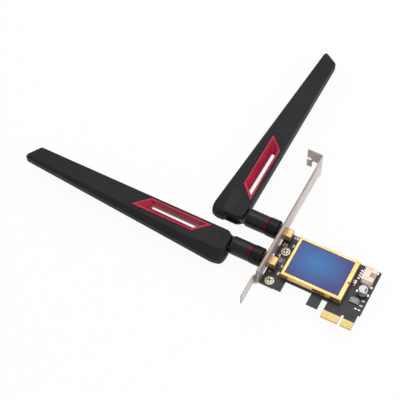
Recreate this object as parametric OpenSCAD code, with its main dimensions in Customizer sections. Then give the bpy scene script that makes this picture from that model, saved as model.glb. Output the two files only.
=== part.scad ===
// Dual-antenna wireless network card for a one-lane slot, lying component side up.
// The origin is on the card's mid-plane, at the foot of the edge fingers, in the middle of the key notch.
// +X runs from the bracket to the far end of the board, +Y towards the bracket's screw tab,
// +Z out of the component side. Every length is in millimetres.

/* [Circuit board] */
// Thickness of the board
pcb_t = 1.57; // [1.2:0.01:1.8]
// Distance from the bracket's inner face to the middle of the key notch
key_x = 58.95; // [58:0.05:60]
// Height of the board's top edge above the foot of the fingers
pcb_top_y = 46.75; // [46.2:0.05:48]
// Distance from the bracket's inner face to the board's far edge
pcb_far_x = 68.85; // [68:0.05:71]
// Gap between the bracket and the board's near edge
pcb_near_x = 1.2; // [0.8:0.1:2]
// Distance from the bracket to the far side of the lobe that carries the lower screw
lobe_x = 16.3; // [14:0.1:18]
// Height of the lobe's foot
lobe_y = 4.65; // [3:0.05:6]
// Height of the board's lower edge under the shield
belly_y = 12.9; // [12:0.1:13.4]
// Width of the short leg beside the fingers
leg_w = 7.8; // [6:0.1:9]
// Height of the leg's foot
leg_y = 4.05; // [3:0.05:6]
// Width of the slot between the leg and the fingers
leg_slot_w = 3.85; // [3:0.05:4.5]
// Height of the top of that slot and of the shoulder beyond the fingers
shoulder_y = 12.1; // [11.6:0.05:12.6]
// Radius of the board's routed outer corners
pcb_corner_r = 0.5; // [0.2:0.1:1]

/* [Edge fingers] */
// Width of the key notch
key_w = 1.9; // [1.8:0.05:2]
// Depth of the key notch
key_depth = 8; // [7.6:0.05:8.4]
// Length of the finger block on the bracket side of the notch
fingers_near_w = 11.65; // [11.5:0.05:11.8]
// Length of the finger block beyond the notch
fingers_far_w = 7.65; // [7.5:0.05:7.8]
// Spacing of the contacts
contact_pitch = 1; // [1:0.01:1]
// Width of a contact
contact_w = 0.72; // [0.6:0.02:0.8]
// Height of the upper end of the contacts
contact_top_y = 5.4; // [4.5:0.1:5.6]
// Thickness of the gold plating with its copper
contact_t = 0.06; // [0.04:0.01:0.1]
// Bevel along the foot of the fingers
foot_bevel = 0.35; // [0.2:0.05:0.5]

/* [Bracket] */
// Thickness of the bracket's sheet
sheet_t = 0.86; // [0.8:0.01:1]
// Width of the bracket's plate
plate_w = 18.42; // [18:0.01:18.6]
// Height of the plate's component-side edge above the board
plate_top_z = 15.2; // [14.8:0.05:15.6]
// Overall length of the bracket
bracket_l = 120.02; // [119:0.01:121]
// Height of the screw tab's outer face above the foot of the fingers
bracket_top_y = 103.74; // [103:0.01:104.5]
// Length of the screw tab, out from the plate's inner face
tab_l = 11.43; // [11:0.01:12]
// Reach of the plate's folded edge, from the plate's inner face
edge_fold_l = 1.1; // [0.9:0.05:1.4]
// Height along the bracket at which the folded edge ends
edge_fold_top_y = 91.2; // [85:0.1:92]
// Inner radius of the bends
bend_r = 0.5; // [0.3:0.1:0.8]
// Width of the screw slot
screw_slot_w = 4.42; // [4:0.01:4.8]
// Distance from the plate's inner face to the middle of the screw slot
screw_slot_x = 5.4; // [5:0.1:5.8]
// Height of the centre of the slot's round end
screw_slot_z = 2.2; // [1:0.1:4]
// Width of the small notch in the tab's outer end
tab_notch_w = 2.9; // [2:0.1:3.5]
// Depth of that notch
tab_notch_d = 3.4; // [2.5:0.1:3.6]
// Height of the middle of that notch
tab_notch_z = 5.3; // [5:0.1:8]
// How far the plate's head stands out on the solder side
head_step = 3.17; // [2.5:0.01:3.5]
// Height along the bracket at which the plate ends and the tongue begins
tongue_y = 3; // [2:0.1:4]
// Width of the tongue
tongue_w = 10.6; // [9:0.1:11]
// Height of the middle of the tongue above the board
tongue_z = 6.7; // [6:0.1:8]
// How far the tongue is set outwards
tongue_set = 1.3; // [0.8:0.1:2]

/* [Bracket ears and screws] */
// Heights of the two ears' middles
ear_y = [8.1, 32.4];
// Distance from the bracket to the ears' screws
screw_x = 6.7; // [6:0.1:8]
// Width of an ear
ear_w = 7; // [6:0.1:8]
// Length of an ear from the plate's inner face
ear_l = 10.5; // [9.8:0.1:12]
// Diameter of the screw's shank
screw_d = 2.9; // [2.5:0.1:3]
// Length of the shank
screw_l = 3; // [2.6:0.1:3]
// Diameter of the screw's head
screw_head_d = 6.2; // [5:0.1:6.4]
// Height of the screw's head
screw_head_h = 2; // [1.4:0.1:2.2]

/* [Antenna jacks] */
// Heights of the two jacks' axes; jack 1 is nearer the screw tab
jack_y = [42.88, 19.32];
// Height of the jacks' axes above the board
jack_z = 3.9; // [3.8:0.05:4.4]
// Outer diameter of the jack's thread
jack_d = 6.3; // [6.2:0.05:6.4]
// Reach of the threaded barrel from the bracket's inner face
jack_reach = 9; // [8.8:0.1:9]
// Width, depth and height of the jack's square body
jack_body_w = 6.35; // [6:0.05:6.6]
// Gap between the jack's body and the board
jack_standoff = 0.3; // [0.1:0.05:0.5]
// Thickness of the lock washer
washer_t = 0.5; // [0.4:0.05:0.6]
// Thickness of the hexagon nut
nut_t = 1.8; // [1.5:0.1:1.9]
// Width of the nut across its flats
nut_af = 8; // [7.9:0.05:8.1]

/* [Coupling] */
// Outer diameter of the coupling collar
collar_d = 12.9; // [12:0.1:14]
// Distance from the bracket's inner face to the collar's near end
collar_near = 3.4; // [3.3:0.05:3.5]
// Distance from the bracket's inner face to the collar's outer end
collar_far = 10.7; // [10.6:0.05:10.8]
// Outer diameter of the brass nut inside the collar
coupling_d = 9; // [8.6:0.1:10]
// Outer diameter of the red ring
ring_d = 12.6; // [12:0.1:13]
// Distance from the bracket's inner face to the near end of the ring
ring_near = 10.9; // [10.9:0.05:11.3]
// Length of the ring
ring_l = 3.1; // [2.2:0.1:3.4]

/* [Antenna knuckle] */
// Outer diameter of the barrel
barrel_d = 12.4; // [11.4:0.1:12.8]
// Distance from the bracket's inner face to the hinge axis
pivot_x = 33.55; // [32:0.05:36]
// Distance from the hinge axis to the barrel's shoulder
shoulder_gap = 7.4; // [7.3:0.1:8]
// Thickness of the barrel's tongue
knuckle_t = 5; // [4:0.1:5.4]
// Width of the tongue and diameter of its round end
knuckle_w = 10; // [9:0.1:10.2]
// Diameter of the hinge pin
hinge_pin_d = 3; // [2.5:0.1:4]
// Fold of each blade from straight, as it rests
fold = [90, 0.4];

/* [Antenna blade] */
// Length from the hinge axis to the tip's long corner
blade_l = 148.4; // [130:0.1:160]
// How much shorter the straight edge is at the slanted tip
tip_slant = 5.6; // [4:0.1:8]
// Distance from the hinge axis to the straight edge
edge_v = 6.15; // [5.6:0.05:6.2]
// Distance from the hinge line to the tapering edge, at the hinge
taper_root = 17.2; // [16:0.1:18]
// Distance from the hinge line to the tapering edge, at the tip
taper_tip = 5.3; // [4:0.1:6]
// How far the blade's root reaches past the hinge axis
root_reach = 8.5; // [8:0.1:9]
// Thickness of the blade at the hinge
root_t = 11; // [10:0.1:12]
// Thickness of the blade at the tip
tip_t = 8; // [7:0.1:9]
// Height of the upright wall between the bevels
rim_t = 4.7; // [3:0.1:5]
// Width of the wide bevel at the root
bevel_root = 6.3; // [5:0.1:7]
// Thickness of the moulded shell
shell_t = 1.6; // [1.2:0.1:2]

/* [Blade insert] */
// Distance from the hinge axis to the nearest corner of the insert
insert_near = 9.2; // [9:0.1:12]
// Length of the insert's long sides
insert_l = 45.6; // [40:0.1:50]
// How far the insert's ends slant
insert_slant = 10; // [8:0.1:10.5]
// Distance from the hinge line to the insert's side near the straight edge
insert_edge_v = 4.3; // [3.6:0.1:4.4]
// Distance from the hinge line to the insert's other side
insert_taper_v = 5.8; // [5:0.1:6.4]
// Width of the insert's flat lip beside the straight edge and at the tip end
insert_lip = 1; // [0.6:0.1:1.4]
// Width of that lip beside the tapering edge and at the root end
insert_lip_wide = 1.8; // [1:0.1:2.2]
// How far the lip stands above the blade
insert_proud = 0.3; // [0.1:0.05:0.5]

/* [Shield] */
// Near side, far side, lower side and upper side of the shield, from the bracket and the finger foot
shield_x0 = 11.4; // [11.4:0.1:12.4]
// Length of the shield along the board
shield_l = 42.9; // [42:0.1:43]
// Height of the shield's lower side
shield_y0 = 13.6; // [13.5:0.1:14]
// Width of the shield
shield_w = 31.5; // [31:0.1:31.9]
// Height of the shield above the board
shield_h = 5; // [4.6:0.1:5.4]
// Thickness of the shield's sheet
shield_t = 0.3; // [0.2:0.05:0.4]
// Depth of the panel pressed into the cover
panel_depth = 0.35; // [0.2:0.05:0.5]

/* [Header and capacitor] */
// Size of the header's housing along X
header_l = 7.6; // [7.2:0.1:7.8]
// Size of the housing along Y
header_w = 10.2; // [9.6:0.1:11.2]
// Height of the housing
header_h = 5.5; // [5:0.1:6]
// Number of contacts in the header
header_pins = 4; // [4:1:4]
// Spacing of the header's contacts
header_pitch = 2; // [2:0.1:2]
// Diameter of the capacitor's can
can_d = 6.3; // [5.8:0.1:6.5]
// Height of the capacitor above the board
can_h = 5.8; // [5.2:0.1:6.4]

/* [Hidden] */

$fn = 48;
eps = 0.01;
cut = 1; // how far a cutting solid reaches past what it cuts
seat_gap = 0.02; // clearance round a piece that sits fixed in another
run_gap = 0.05; // radial clearance of what turns
air_gap = 0.3; // clearance of what swings past another piece

// Board
fingers_x0 = key_x - key_w / 2 - fingers_near_w;
fingers_x1 = key_x + key_w / 2 + fingers_far_w;
leg_x1 = fingers_x0 - leg_slot_w;
leg_x0 = leg_x1 - leg_w;
screw_hole_d = screw_d + 0.3;

// Bracket
plate_low_z = plate_top_z - plate_w;
head_low_z = plate_low_z - head_step;
head_y = bracket_top_y - 2 * head_step;
tongue_foot_y = bracket_top_y - bracket_l;
tongue_corner = 1.2;
joggle_l = 2.6;
ear_relief = 0.8;
edge_fold_relief = 0.9;
jack_hole_d = jack_d + 0.2;

// Jack and plug, measured along the jack's axis from the bracket's inner face
jack_mouth_depth = 2;
jack_mouth_d = 4.7;
jack_face = jack_reach - jack_mouth_depth;
dielectric_d = 4.1;
tail_x = jack_body_w / 2;
tail_d = 0.9;
pin_d = 1.27;
pin_reach = jack_reach - 0.3;
leg_pitch = 5.08;
leg_set = [-0.9, 2.2]; // places of the legs either side of the tail, away from the bracket
leg_d = 1;
leg_below = 0.7;
plug_face = jack_face + 0.1;
plug_tube_d = jack_mouth_d - 2 * run_gap;
plug_bore_d = 3.1;
flange_near = jack_reach + 0.1;
flange_t = 0.6;
flange_d = jack_d - 0.1;
lip_near = flange_near + flange_t + 0.1;
coupling_near = collar_near + 0.2;
coupling_far = collar_far - 0.2;
neck_d = 5;
neck_far = ring_near + 4.2;
contact_d = 1.86;
contact_far = plug_face + 5.9;
coax_d = 1.8;

// Barrel
ring_far = ring_near + ring_l;
spigot_d = barrel_d - 2.4;
barrel_far = pivot_x - shoulder_gap;
barrel_coax_far = pivot_x - 3.2;
knuckle_gap = 0.1;

// Blade, in its own frame: x along the blade, y from the hinge line to the tapering edge, z its thickness
fork_half = knuckle_t / 2 + knuckle_gap;
fork_r = knuckle_w / 2 + air_gap;
ear_r = shoulder_gap - air_gap;
root_clear_v = barrel_d / 2 + air_gap;
root_swing_r = jack_y[0] - jack_y[1] - barrel_d / 2 - air_gap * 0.4; // lets one blade's root corner pass the other barrel
face_r = 6;
face_inset = 0.4;
slope = atan((root_t - tip_t) / 2 / blade_l);
tip_slant_y = edge_v + taper_tip;
cavity_x = 8;
seam_w = 0.12;
seam_depth = 0.5;
throat_t = 2.4;
throat_near = 14;
throat_far = 52.6;
throat_edge_v = 2.4;
throat_taper_near_v = 2.4;
throat_taper_far_v = 1;
throat_slant = insert_slant * (throat_edge_v + throat_taper_near_v) / (insert_edge_v + insert_taper_v);

// Shield
shield_x1 = shield_x0 + shield_l;
shield_y1 = shield_y0 + shield_w;
fence_h = shield_h - panel_depth - shield_t;
panel_near = 2;
panel_far = 3;
panel_low = 2.1;
panel_high = 1.7;
label_t = 0.12;
label_edge = 0.15;

// Header and capacitor
header_x = shield_x1 + 4.6;
header_y = 34.4;
header_wing_w = 0.9;
header_wall = 0.8;
header_pin_t = 0.5;
can_x = shield_x1 + 9.3;
can_y = 27.5;
base_w = 6.6;
base_h = 0.9;

// Moves what is drawn from the bracket's inner face and the board's top face into the card's frame
module from_bracket() {
    translate([-key_x, 0, pcb_t / 2]) children();
}

// Turns what is drawn along +Z so that it runs out through the bracket on a jack's axis
module along_jack(n) {
    from_bracket() translate([0, jack_y[n - 1], jack_z]) rotate([0, -90, 0]) children();
}

// Places what is drawn in the blade's own frame on its hinge, at its rest fold
module on_hinge(n) {
    from_bracket() translate([-pivot_x, jack_y[n - 1], jack_z]) rotate([0, 0, 180 - fold[n - 1]]) children();
}

// A ring or tube along +Z from one distance to another
module tube(near, far, outer_d, bore_d) {
    translate([0, 0, near]) difference() {
        cylinder(d = outer_d, h = far - near);
        translate([0, 0, -cut]) cylinder(d = bore_d, h = far - near + 2 * cut);
    }
}

// A turned piece with chamfered outer rims
module chamfered_tube(near, far, outer_d, bore_d, near_chamfer, far_chamfer) {
    rotate_extrude() polygon([
        [bore_d / 2, near],
        [outer_d / 2 - near_chamfer, near],
        [outer_d / 2, near + near_chamfer],
        [outer_d / 2, far - far_chamfer],
        [outer_d / 2 - far_chamfer, far],
        [bore_d / 2, far]]);
}

// A square block standing on the board, from its middle
module block(x, y, size, lift = 0) {
    translate([x - size[0] / 2, y - size[1] / 2, lift]) cube(size);
}

module board_outline() {
    key_r = key_w / 2;
    polygon(concat(
        [[pcb_near_x, pcb_top_y - pcb_corner_r], [pcb_near_x + pcb_corner_r, pcb_top_y],
        [pcb_far_x - pcb_corner_r, pcb_top_y], [pcb_far_x, pcb_top_y - pcb_corner_r],
        [pcb_far_x, shoulder_y], [fingers_x1, shoulder_y],
        [fingers_x1, 0], [key_x + key_r, 0]],
        [for (a = [0 : 15 : 180]) [key_x + key_r * cos(a), key_depth - key_r + key_r * sin(a)]],
        [[key_x - key_r, 0], [fingers_x0, 0],
        [fingers_x0, shoulder_y], [leg_x1, shoulder_y],
        [leg_x1, leg_y], [leg_x0, leg_y], [leg_x0, belly_y],
        [lobe_x, belly_y], [lobe_x, lobe_y], [pcb_near_x, lobe_y]]));
}

module pcb() {
    color("#2d2b30") from_bracket() difference() {
        translate([0, 0, -pcb_t]) linear_extrude(pcb_t) board_outline();
        for (y = ear_y) translate([screw_x, y, -pcb_t - cut]) cylinder(d = screw_hole_d, h = pcb_t + 2 * cut);
        for (y = jack_y) translate([tail_x, y, -pcb_t - cut]) {
            cylinder(d = tail_d + 0.2, h = pcb_t + 2 * cut);
            for (dx = leg_set, side = [-1, 1])
                translate([dx, side * leg_pitch / 2]) cylinder(d = leg_d + 0.2, h = pcb_t + 2 * cut);
        }
        foot_bevel_cut();
        translate([0, 0, -pcb_t]) mirror([0, 0, 1]) foot_bevel_cut();
    }
}

// Takes the bevel off one face along the foot of the fingers
module foot_bevel_cut() {
    translate([fingers_x0 - cut, 0, 0]) rotate([90, 0, 90]) linear_extrude(fingers_x1 - fingers_x0 + 2 * cut)
        polygon([[-cut, cut], [-cut, -foot_bevel - cut], [foot_bevel + cut, cut]]);
}

// Middles of the contacts in one block of fingers
function contact_middles(x0, width) =
    let (count = floor(width / contact_pitch), margin = (width - (count - 1) * contact_pitch) / 2)
    [for (i = [0 : count - 1]) x0 + margin + i * contact_pitch];

module edge_contacts() {
    middles = concat(contact_middles(fingers_x0, fingers_near_w), contact_middles(key_x + key_w / 2, fingers_far_w));
    color("#e1cd82") from_bracket() for (x = middles, z = [0, -pcb_t - contact_t])
        translate([x - contact_w / 2, foot_bevel, z]) cube([contact_w, contact_top_y - foot_bevel, contact_t]);
}

// Section of a right-angle bend between two flat legs, from the corner of its outer faces
module bend_section(leg_a, leg_b) {
    outer_r = bend_r + sheet_t;
    translate([outer_r, outer_r]) intersection() {
        difference() {
            circle(r = outer_r);
            circle(r = bend_r);
        }
        translate([-outer_r, -outer_r]) square(outer_r);
    }
    translate([outer_r - eps, 0]) square([leg_a - outer_r + eps, sheet_t]);
    translate([0, outer_r - eps]) square([sheet_t, leg_b - outer_r + eps]);
}

module bracket() {
    color("#cdc3c1") from_bracket() difference() {
        union() {
            bracket_plate();
            bracket_edge_fold();
            bracket_tab();
            bracket_tongue();
            for (y = ear_y) bracket_ear(y);
        }
        for (y = jack_y) translate([-sheet_t - cut, y, jack_z]) rotate([0, 90, 0])
            cylinder(d = jack_hole_d, h = sheet_t + 2 * cut);
        for (y = ear_y) translate([screw_x, y, -pcb_t - sheet_t - cut]) cylinder(d = screw_d + 0.1, h = sheet_t + cut * 1.5);
    }
}

// The flat plate with its wider head, up to where the tab's bend begins
module bracket_plate() {
    bend_y = bracket_top_y - bend_r - sheet_t;
    translate([-sheet_t, 0, 0]) rotate([90, 0, 90]) linear_extrude(sheet_t) difference() {
        polygon([
            [tongue_y, plate_top_z - 1], [tongue_y + 1, plate_top_z],
            [bend_y, plate_top_z], [bend_y, head_low_z],
            [head_y + head_step, head_low_z], [head_y, plate_low_z],
            [tongue_y + 1, plate_low_z], [tongue_y, plate_low_z + 1]]);
        for (y = ear_y) translate([y - ear_w / 2 - ear_relief, plate_low_z - cut])
            square([ear_w + 2 * ear_relief, -pcb_t + bend_r - plate_low_z + cut]);
        translate([tongue_y - cut, plate_top_z - bend_r - sheet_t])
            square([edge_fold_top_y + edge_fold_relief - tongue_y + cut, bend_r + sheet_t + cut]);
    }
}

// The plate's component-side edge, folded inwards from the foot up to a relief notch
module bracket_edge_fold() {
    translate([-sheet_t, edge_fold_top_y, plate_top_z]) mirror([0, 0, 1]) rotate([90, 0, 0])
        linear_extrude(edge_fold_top_y - tongue_y) bend_section(edge_fold_l + sheet_t, 2 * bend_r + sheet_t);
}

// The screw tab, bent outwards from the plate's head
module bracket_tab() {
    difference() {
        translate([0, bracket_top_y, head_low_z]) rotate([0, 0, 180])
            linear_extrude(plate_top_z - head_low_z) bend_section(tab_l, bend_r + sheet_t + eps);
        translate([-tab_l - cut, bracket_top_y - sheet_t - cut, head_low_z - cut])
            cube([tab_l + cut - sheet_t - bend_r, sheet_t + 2 * cut, plate_low_z - head_low_z + cut]);
        translate([-screw_slot_x, bracket_top_y + cut, screw_slot_z]) rotate([90, 0, 0])
            cylinder(d = screw_slot_w, h = sheet_t + 2 * cut);
        translate([-screw_slot_x - screw_slot_w / 2, bracket_top_y - sheet_t - cut, head_low_z - cut])
            cube([screw_slot_w, sheet_t + 2 * cut, screw_slot_z - head_low_z + cut]);
        translate([-tab_l - cut, bracket_top_y - sheet_t - cut, tab_notch_z - tab_notch_w / 2])
            cube([cut + tab_notch_d - tab_notch_w / 2, sheet_t + 2 * cut, tab_notch_w]);
        translate([-tab_l + tab_notch_d - tab_notch_w / 2, bracket_top_y + cut, tab_notch_z]) rotate([90, 0, 0])
            cylinder(d = tab_notch_w, h = sheet_t + 2 * cut);
    }
}

// The tongue below the plate, set outwards by a joggle
module bracket_tongue() {
    straight_y = tongue_y - joggle_l;
    intersection() {
        translate([0, 0, tongue_z - tongue_w / 2]) linear_extrude(tongue_w) polygon([
            [-sheet_t, tongue_y + eps], [0, tongue_y + eps], [0, tongue_y],
            [-tongue_set, straight_y], [-tongue_set, tongue_foot_y],
            [-tongue_set - sheet_t, tongue_foot_y], [-tongue_set - sheet_t, straight_y], [-sheet_t, tongue_y]]);
        translate([-tongue_set - sheet_t - cut, 0, 0]) rotate([90, 0, 90]) linear_extrude(tongue_set + sheet_t + 2 * cut)
            polygon([
                [tongue_y + cut, tongue_z - tongue_w / 2], [tongue_y + cut, tongue_z + tongue_w / 2],
                [tongue_foot_y + tongue_corner, tongue_z + tongue_w / 2],
                [tongue_foot_y, tongue_z + tongue_w / 2 - tongue_corner],
                [tongue_foot_y, tongue_z - tongue_w / 2 + tongue_corner],
                [tongue_foot_y + tongue_corner, tongue_z - tongue_w / 2]]);
    }
}

// One ear, bent in under the board
module bracket_ear(y) {
    translate([-sheet_t, y + ear_w / 2, -pcb_t - sheet_t]) rotate([90, 0, 0])
        linear_extrude(ear_w) bend_section(ear_l + sheet_t, 2 * bend_r + sheet_t);
}

module bracket_screws() {
    recess_w = 0.9;
    recess_l = 3.4;
    recess_h = 1.1;
    color("#cfc3a4") from_bracket() for (y = ear_y) translate([screw_x, y, 0]) difference() {
        union() {
            translate([0, 0, -screw_l]) cylinder(d = screw_d, h = screw_l + eps);
            rotate_extrude() polygon([
                [0, 0], [screw_head_d / 2, 0], [screw_head_d / 2, screw_head_h * 0.45],
                [screw_head_d * 0.43, screw_head_h * 0.8], [screw_head_d * 0.3, screw_head_h], [0, screw_head_h]]);
        }
        for (a = [0, 90]) rotate([0, 0, a + 20]) translate([-recess_l / 2, -recess_w / 2, screw_head_h - recess_h])
            cube([recess_l, recess_w, recess_h + cut]);
    }
}

module jack_body(n) {
    body_bottom = jack_standoff - jack_z;
    color("#ebc896") along_jack(n) difference() {
        union() {
            translate([body_bottom, -jack_body_w / 2, -jack_body_w])
                cube([jack_body_w / 2 - body_bottom, jack_body_w, jack_body_w]);
            cylinder(d = jack_d, h = jack_reach);
            for (dx = leg_set, side = [-1, 1])
                translate([-jack_z - pcb_t - leg_below, side * leg_pitch / 2, -tail_x - dx])
                    rotate([0, 90, 0]) cylinder(d = leg_d, h = pcb_t + leg_below + jack_standoff + eps);
        }
        translate([0, 0, jack_face]) cylinder(d = jack_mouth_d, h = jack_mouth_depth + cut);
        translate([0, 0, -tail_x - dielectric_d / 2]) cylinder(d = dielectric_d, h = jack_face + tail_x + dielectric_d / 2 + eps);
        translate([body_bottom - cut, 0, -tail_x]) rotate([0, 90, 0]) cylinder(d = dielectric_d, h = cut - body_bottom);
    }
}

module jack_insulator(n) {
    fill_d = dielectric_d - 2 * seat_gap;
    fill_bottom = jack_standoff - jack_z;
    color("#f4f1ea") along_jack(n) difference() {
        union() {
            translate([0, 0, -tail_x - fill_d / 2]) cylinder(d = fill_d, h = jack_face + tail_x + fill_d / 2);
            translate([fill_bottom, 0, -tail_x]) rotate([0, 90, 0]) cylinder(d = fill_d, h = -fill_bottom);
        }
        translate([0, 0, -tail_x - pin_d]) cylinder(d = pin_d + 2 * seat_gap, h = jack_face + tail_x + pin_d + cut);
        translate([fill_bottom - cut, 0, -tail_x]) rotate([0, 90, 0]) cylinder(d = tail_d + 2 * seat_gap, h = cut - fill_bottom);
    }
}

module jack_pin(n) {
    color("#e1c36e") along_jack(n) {
        translate([0, 0, -tail_x - tail_d / 2]) cylinder(d = pin_d, h = pin_reach + tail_x + tail_d / 2);
        translate([-jack_z - pcb_t - leg_below, 0, -tail_x]) rotate([0, 90, 0])
            cylinder(d = tail_d, h = jack_z + pcb_t + leg_below);
    }
}

module lock_washers() {
    tooth_count = 8;
    color("#d8c08a") for (n = [1, 2]) along_jack(n) translate([0, 0, sheet_t]) difference() {
        cylinder(d = nut_af + 1.4, h = washer_t);
        translate([0, 0, -cut]) cylinder(d = jack_d + 2 * run_gap, h = washer_t + 2 * cut);
        for (i = [0 : tooth_count - 1]) rotate([0, 0, i * 360 / tooth_count]) translate([jack_d / 2, -0.4, -cut])
            cube([1.1, 0.8, washer_t + 2 * cut]);
    }
}

module jack_nuts() {
    color("#e1c07c") for (n = [1, 2]) along_jack(n) translate([0, 0, sheet_t + washer_t]) difference() {
        cylinder(d = nut_af / cos(30), h = nut_t, $fn = 6);
        translate([0, 0, -cut]) cylinder(d = jack_d + 2 * run_gap, h = nut_t + 2 * cut, $fn = 48);
    }
}

module collar(n) {
    color("#202124") along_jack(n)
        chamfered_tube(collar_near, collar_far, collar_d, coupling_d + 2 * seat_gap, 0.8, 0.4);
}

module coupling_nut(n) {
    color("#c9a65a") along_jack(n) difference() {
        tube(coupling_near, coupling_far, coupling_d, neck_d + 2 * run_gap);
        translate([0, 0, coupling_near - cut]) cylinder(d = jack_d + 2 * run_gap, h = lip_near - coupling_near + cut);
    }
}

module plug_shell(n) {
    color("#d9b565") along_jack(n) difference() {
        union() {
            translate([0, 0, plug_face]) cylinder(d = plug_tube_d, h = flange_near - plug_face + eps);
            translate([0, 0, flange_near]) cylinder(d = flange_d, h = flange_t);
            translate([0, 0, flange_near]) cylinder(d = neck_d, h = neck_far - flange_near);
        }
        translate([0, 0, plug_face - cut]) cylinder(d = plug_bore_d, h = neck_far - plug_face + 2 * cut);
    }
}

module plug_insulator(n) {
    color("#f4f1ea") along_jack(n)
        tube(plug_face + 0.1, contact_far, plug_bore_d - 2 * seat_gap, contact_d + 2 * seat_gap);
}

module plug_contact(n) {
    color("#e1c36e") along_jack(n) difference() {
        translate([0, 0, plug_face + 0.1]) cylinder(d = contact_d, h = contact_far - plug_face - 0.1);
        translate([0, 0, plug_face - cut]) cylinder(d = pin_d + 2 * run_gap, h = pin_reach - plug_face + 0.3 + cut);
    }
}

module barrel(n) {
    color("#1f2023") along_jack(n) difference() {
        union() {
            translate([0, 0, ring_near]) cylinder(d = spigot_d, h = ring_l + eps);
            chamfered_tube(ring_far, barrel_far, barrel_d, 0, 0.3, 0.7);
            translate([-knuckle_t / 2, -knuckle_w / 2, barrel_far - eps])
                cube([knuckle_t, knuckle_w, shoulder_gap + eps]);
            translate([-knuckle_t / 2, 0, pivot_x]) rotate([0, 90, 0]) cylinder(d = knuckle_w, h = knuckle_t);
        }
        translate([0, 0, ring_near - cut]) cylinder(d = neck_d + 2 * seat_gap, h = neck_far - ring_near + cut);
        cylinder(d = coax_d + 2 * seat_gap, h = barrel_coax_far);
        translate([-knuckle_t, 0, pivot_x]) rotate([0, 90, 0]) cylinder(d = hinge_pin_d + 2 * run_gap, h = 2 * knuckle_t);
    }
}

module accent_ring(n) {
    groove = 0.25;
    bead_w = 0.7;
    color("#6e1428") along_jack(n) rotate_extrude() polygon([
        [spigot_d / 2 + seat_gap, ring_near],
        [ring_d / 2 - 0.2, ring_near],
        [ring_d / 2, ring_near + 0.2],
        [ring_d / 2, ring_near + bead_w],
        [ring_d / 2 - groove, ring_near + bead_w + 0.15],
        [ring_d / 2 - groove, ring_far - bead_w - 0.15],
        [ring_d / 2, ring_far - bead_w],
        [ring_d / 2, ring_far - 0.2],
        [ring_d / 2 - 0.2, ring_far],
        [spigot_d / 2 + seat_gap, ring_far]]);
}

module barrel_coax(n) {
    color("#8a6a4a") along_jack(n) translate([0, 0, contact_far]) cylinder(d = coax_d, h = barrel_coax_far - contact_far);
}

module hinge_pin(n) {
    pin_half = root_t / 2 - 0.2;
    color("#1b1c1e") on_hinge(n) translate([0, 0, -pin_half]) cylinder(d = hinge_pin_d, h = 2 * pin_half);
}

// Distance from the hinge line to the tapering edge at a place along the blade
function taper_v(x) = taper_root - (taper_root - taper_tip) * x / blade_l;

// Outline of the blade at its upright rim
module rim_outline() {
    arc_end = asin(edge_v / ear_r);
    polygon(concat(
        [[-root_reach, root_clear_v], [-ear_r, root_clear_v], [-ear_r, 0]],
        [for (i = [1 : 6]) [-ear_r * cos(i * arc_end / 6), -ear_r * sin(i * arc_end / 6)]],
        [[blade_l - tip_slant - 2, -edge_v], [blade_l - tip_slant - 0.5, -edge_v + 0.5]],
        [[blade_l - 0.6, taper_tip - 1.6], [blade_l - 0.3, taper_tip - 0.5], [blade_l - 1.6, taper_v(blade_l - 1.6)]],
        [[0, min(taper_root, root_swing_r)]],
        [for (a = [95 : 4.5 : 113]) [root_swing_r * cos(a), root_swing_r * sin(a)]],
        [[0.4 - root_reach, taper_root - 3.7], [-root_reach, taper_root - 6.2]]));
}

// Outline of the flat face, inset from the rim and sloped with the blade
module face_outline() {
    arc_start = 10;
    arc_end = asin((edge_v - face_inset) / face_r);
    bevel_tip = face_inset + 0.3;
    polygon(concat(
        [[-face_r + 0.1, taper_root - 9.1]],
        [for (i = [0 : 6]) let (a = arc_start + i * (arc_end - arc_start) / 6) [-face_r * cos(a), -face_r * sin(a)]],
        [[blade_l - tip_slant - 2.4, -edge_v + face_inset], [blade_l - tip_slant - 0.9, -edge_v + face_inset + 0.6]],
        [[blade_l - 1.4, taper_tip - 2], [blade_l - 1.6, taper_tip - 1.2], [blade_l - 2.6, taper_v(blade_l - 2.6) - bevel_tip]],
        [[20, taper_v(20) - bevel_root * 0.75], [-3.2, taper_root - 7.8]]));
}

// The closed form of the blade, taken in by a wall all round
module blade_form(wall) {
    hull() {
        translate([0, 0, -rim_t / 2]) linear_extrude(rim_t) offset(delta = -wall) rim_outline();
        for (side = [-1, 1]) rotate([0, side * slope, 0]) translate([0, 0, side * (root_t / 2 - wall) - (side + 1) / 2 * eps])
            linear_extrude(eps) offset(delta = -wall) face_outline();
    }
}

// The parallelogram of the insert, grown or shrunk
module insert_outline(grow) {
    offset(delta = grow) polygon([
        [insert_near, -insert_edge_v],
        [insert_near + insert_l, -insert_edge_v],
        [insert_near + insert_l + insert_slant, insert_taper_v],
        [insert_near + insert_slant, insert_taper_v]]);
}

// One half of the moulded blade: side is 1 for the front and -1 for the back
module blade_half(side) {
    mirror([0, 0, side > 0 ? 0 : 1]) difference() {
        blade_form(0);
        intersection() {
            blade_form(shell_t);
            translate([cavity_x, -edge_v - cut, -root_t]) cube([blade_l, taper_root + edge_v + 2 * cut, 2 * root_t]);
        }
        translate([-2 * ear_r, -taper_root, -root_t]) cube([blade_l + 3 * ear_r, 3 * taper_root, root_t]);
        translate([0, 0, -root_t]) linear_extrude(2 * root_t) insert_outline(seat_gap);
        fork_cut();
        translate([-4 * ear_r, -3 * ear_r, -root_t]) cube([3 * ear_r, 3 * ear_r + root_clear_v, 2 * root_t]);
        translate([0, 0, -root_t]) cylinder(d = hinge_pin_d + 2 * seat_gap, h = 2 * root_t);
        translate([0, 0, -eps]) linear_extrude(seam_w + eps) difference() {
            offset(delta = cut) rim_outline();
            offset(delta = -seam_depth) rim_outline();
        }
    }
}

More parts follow.
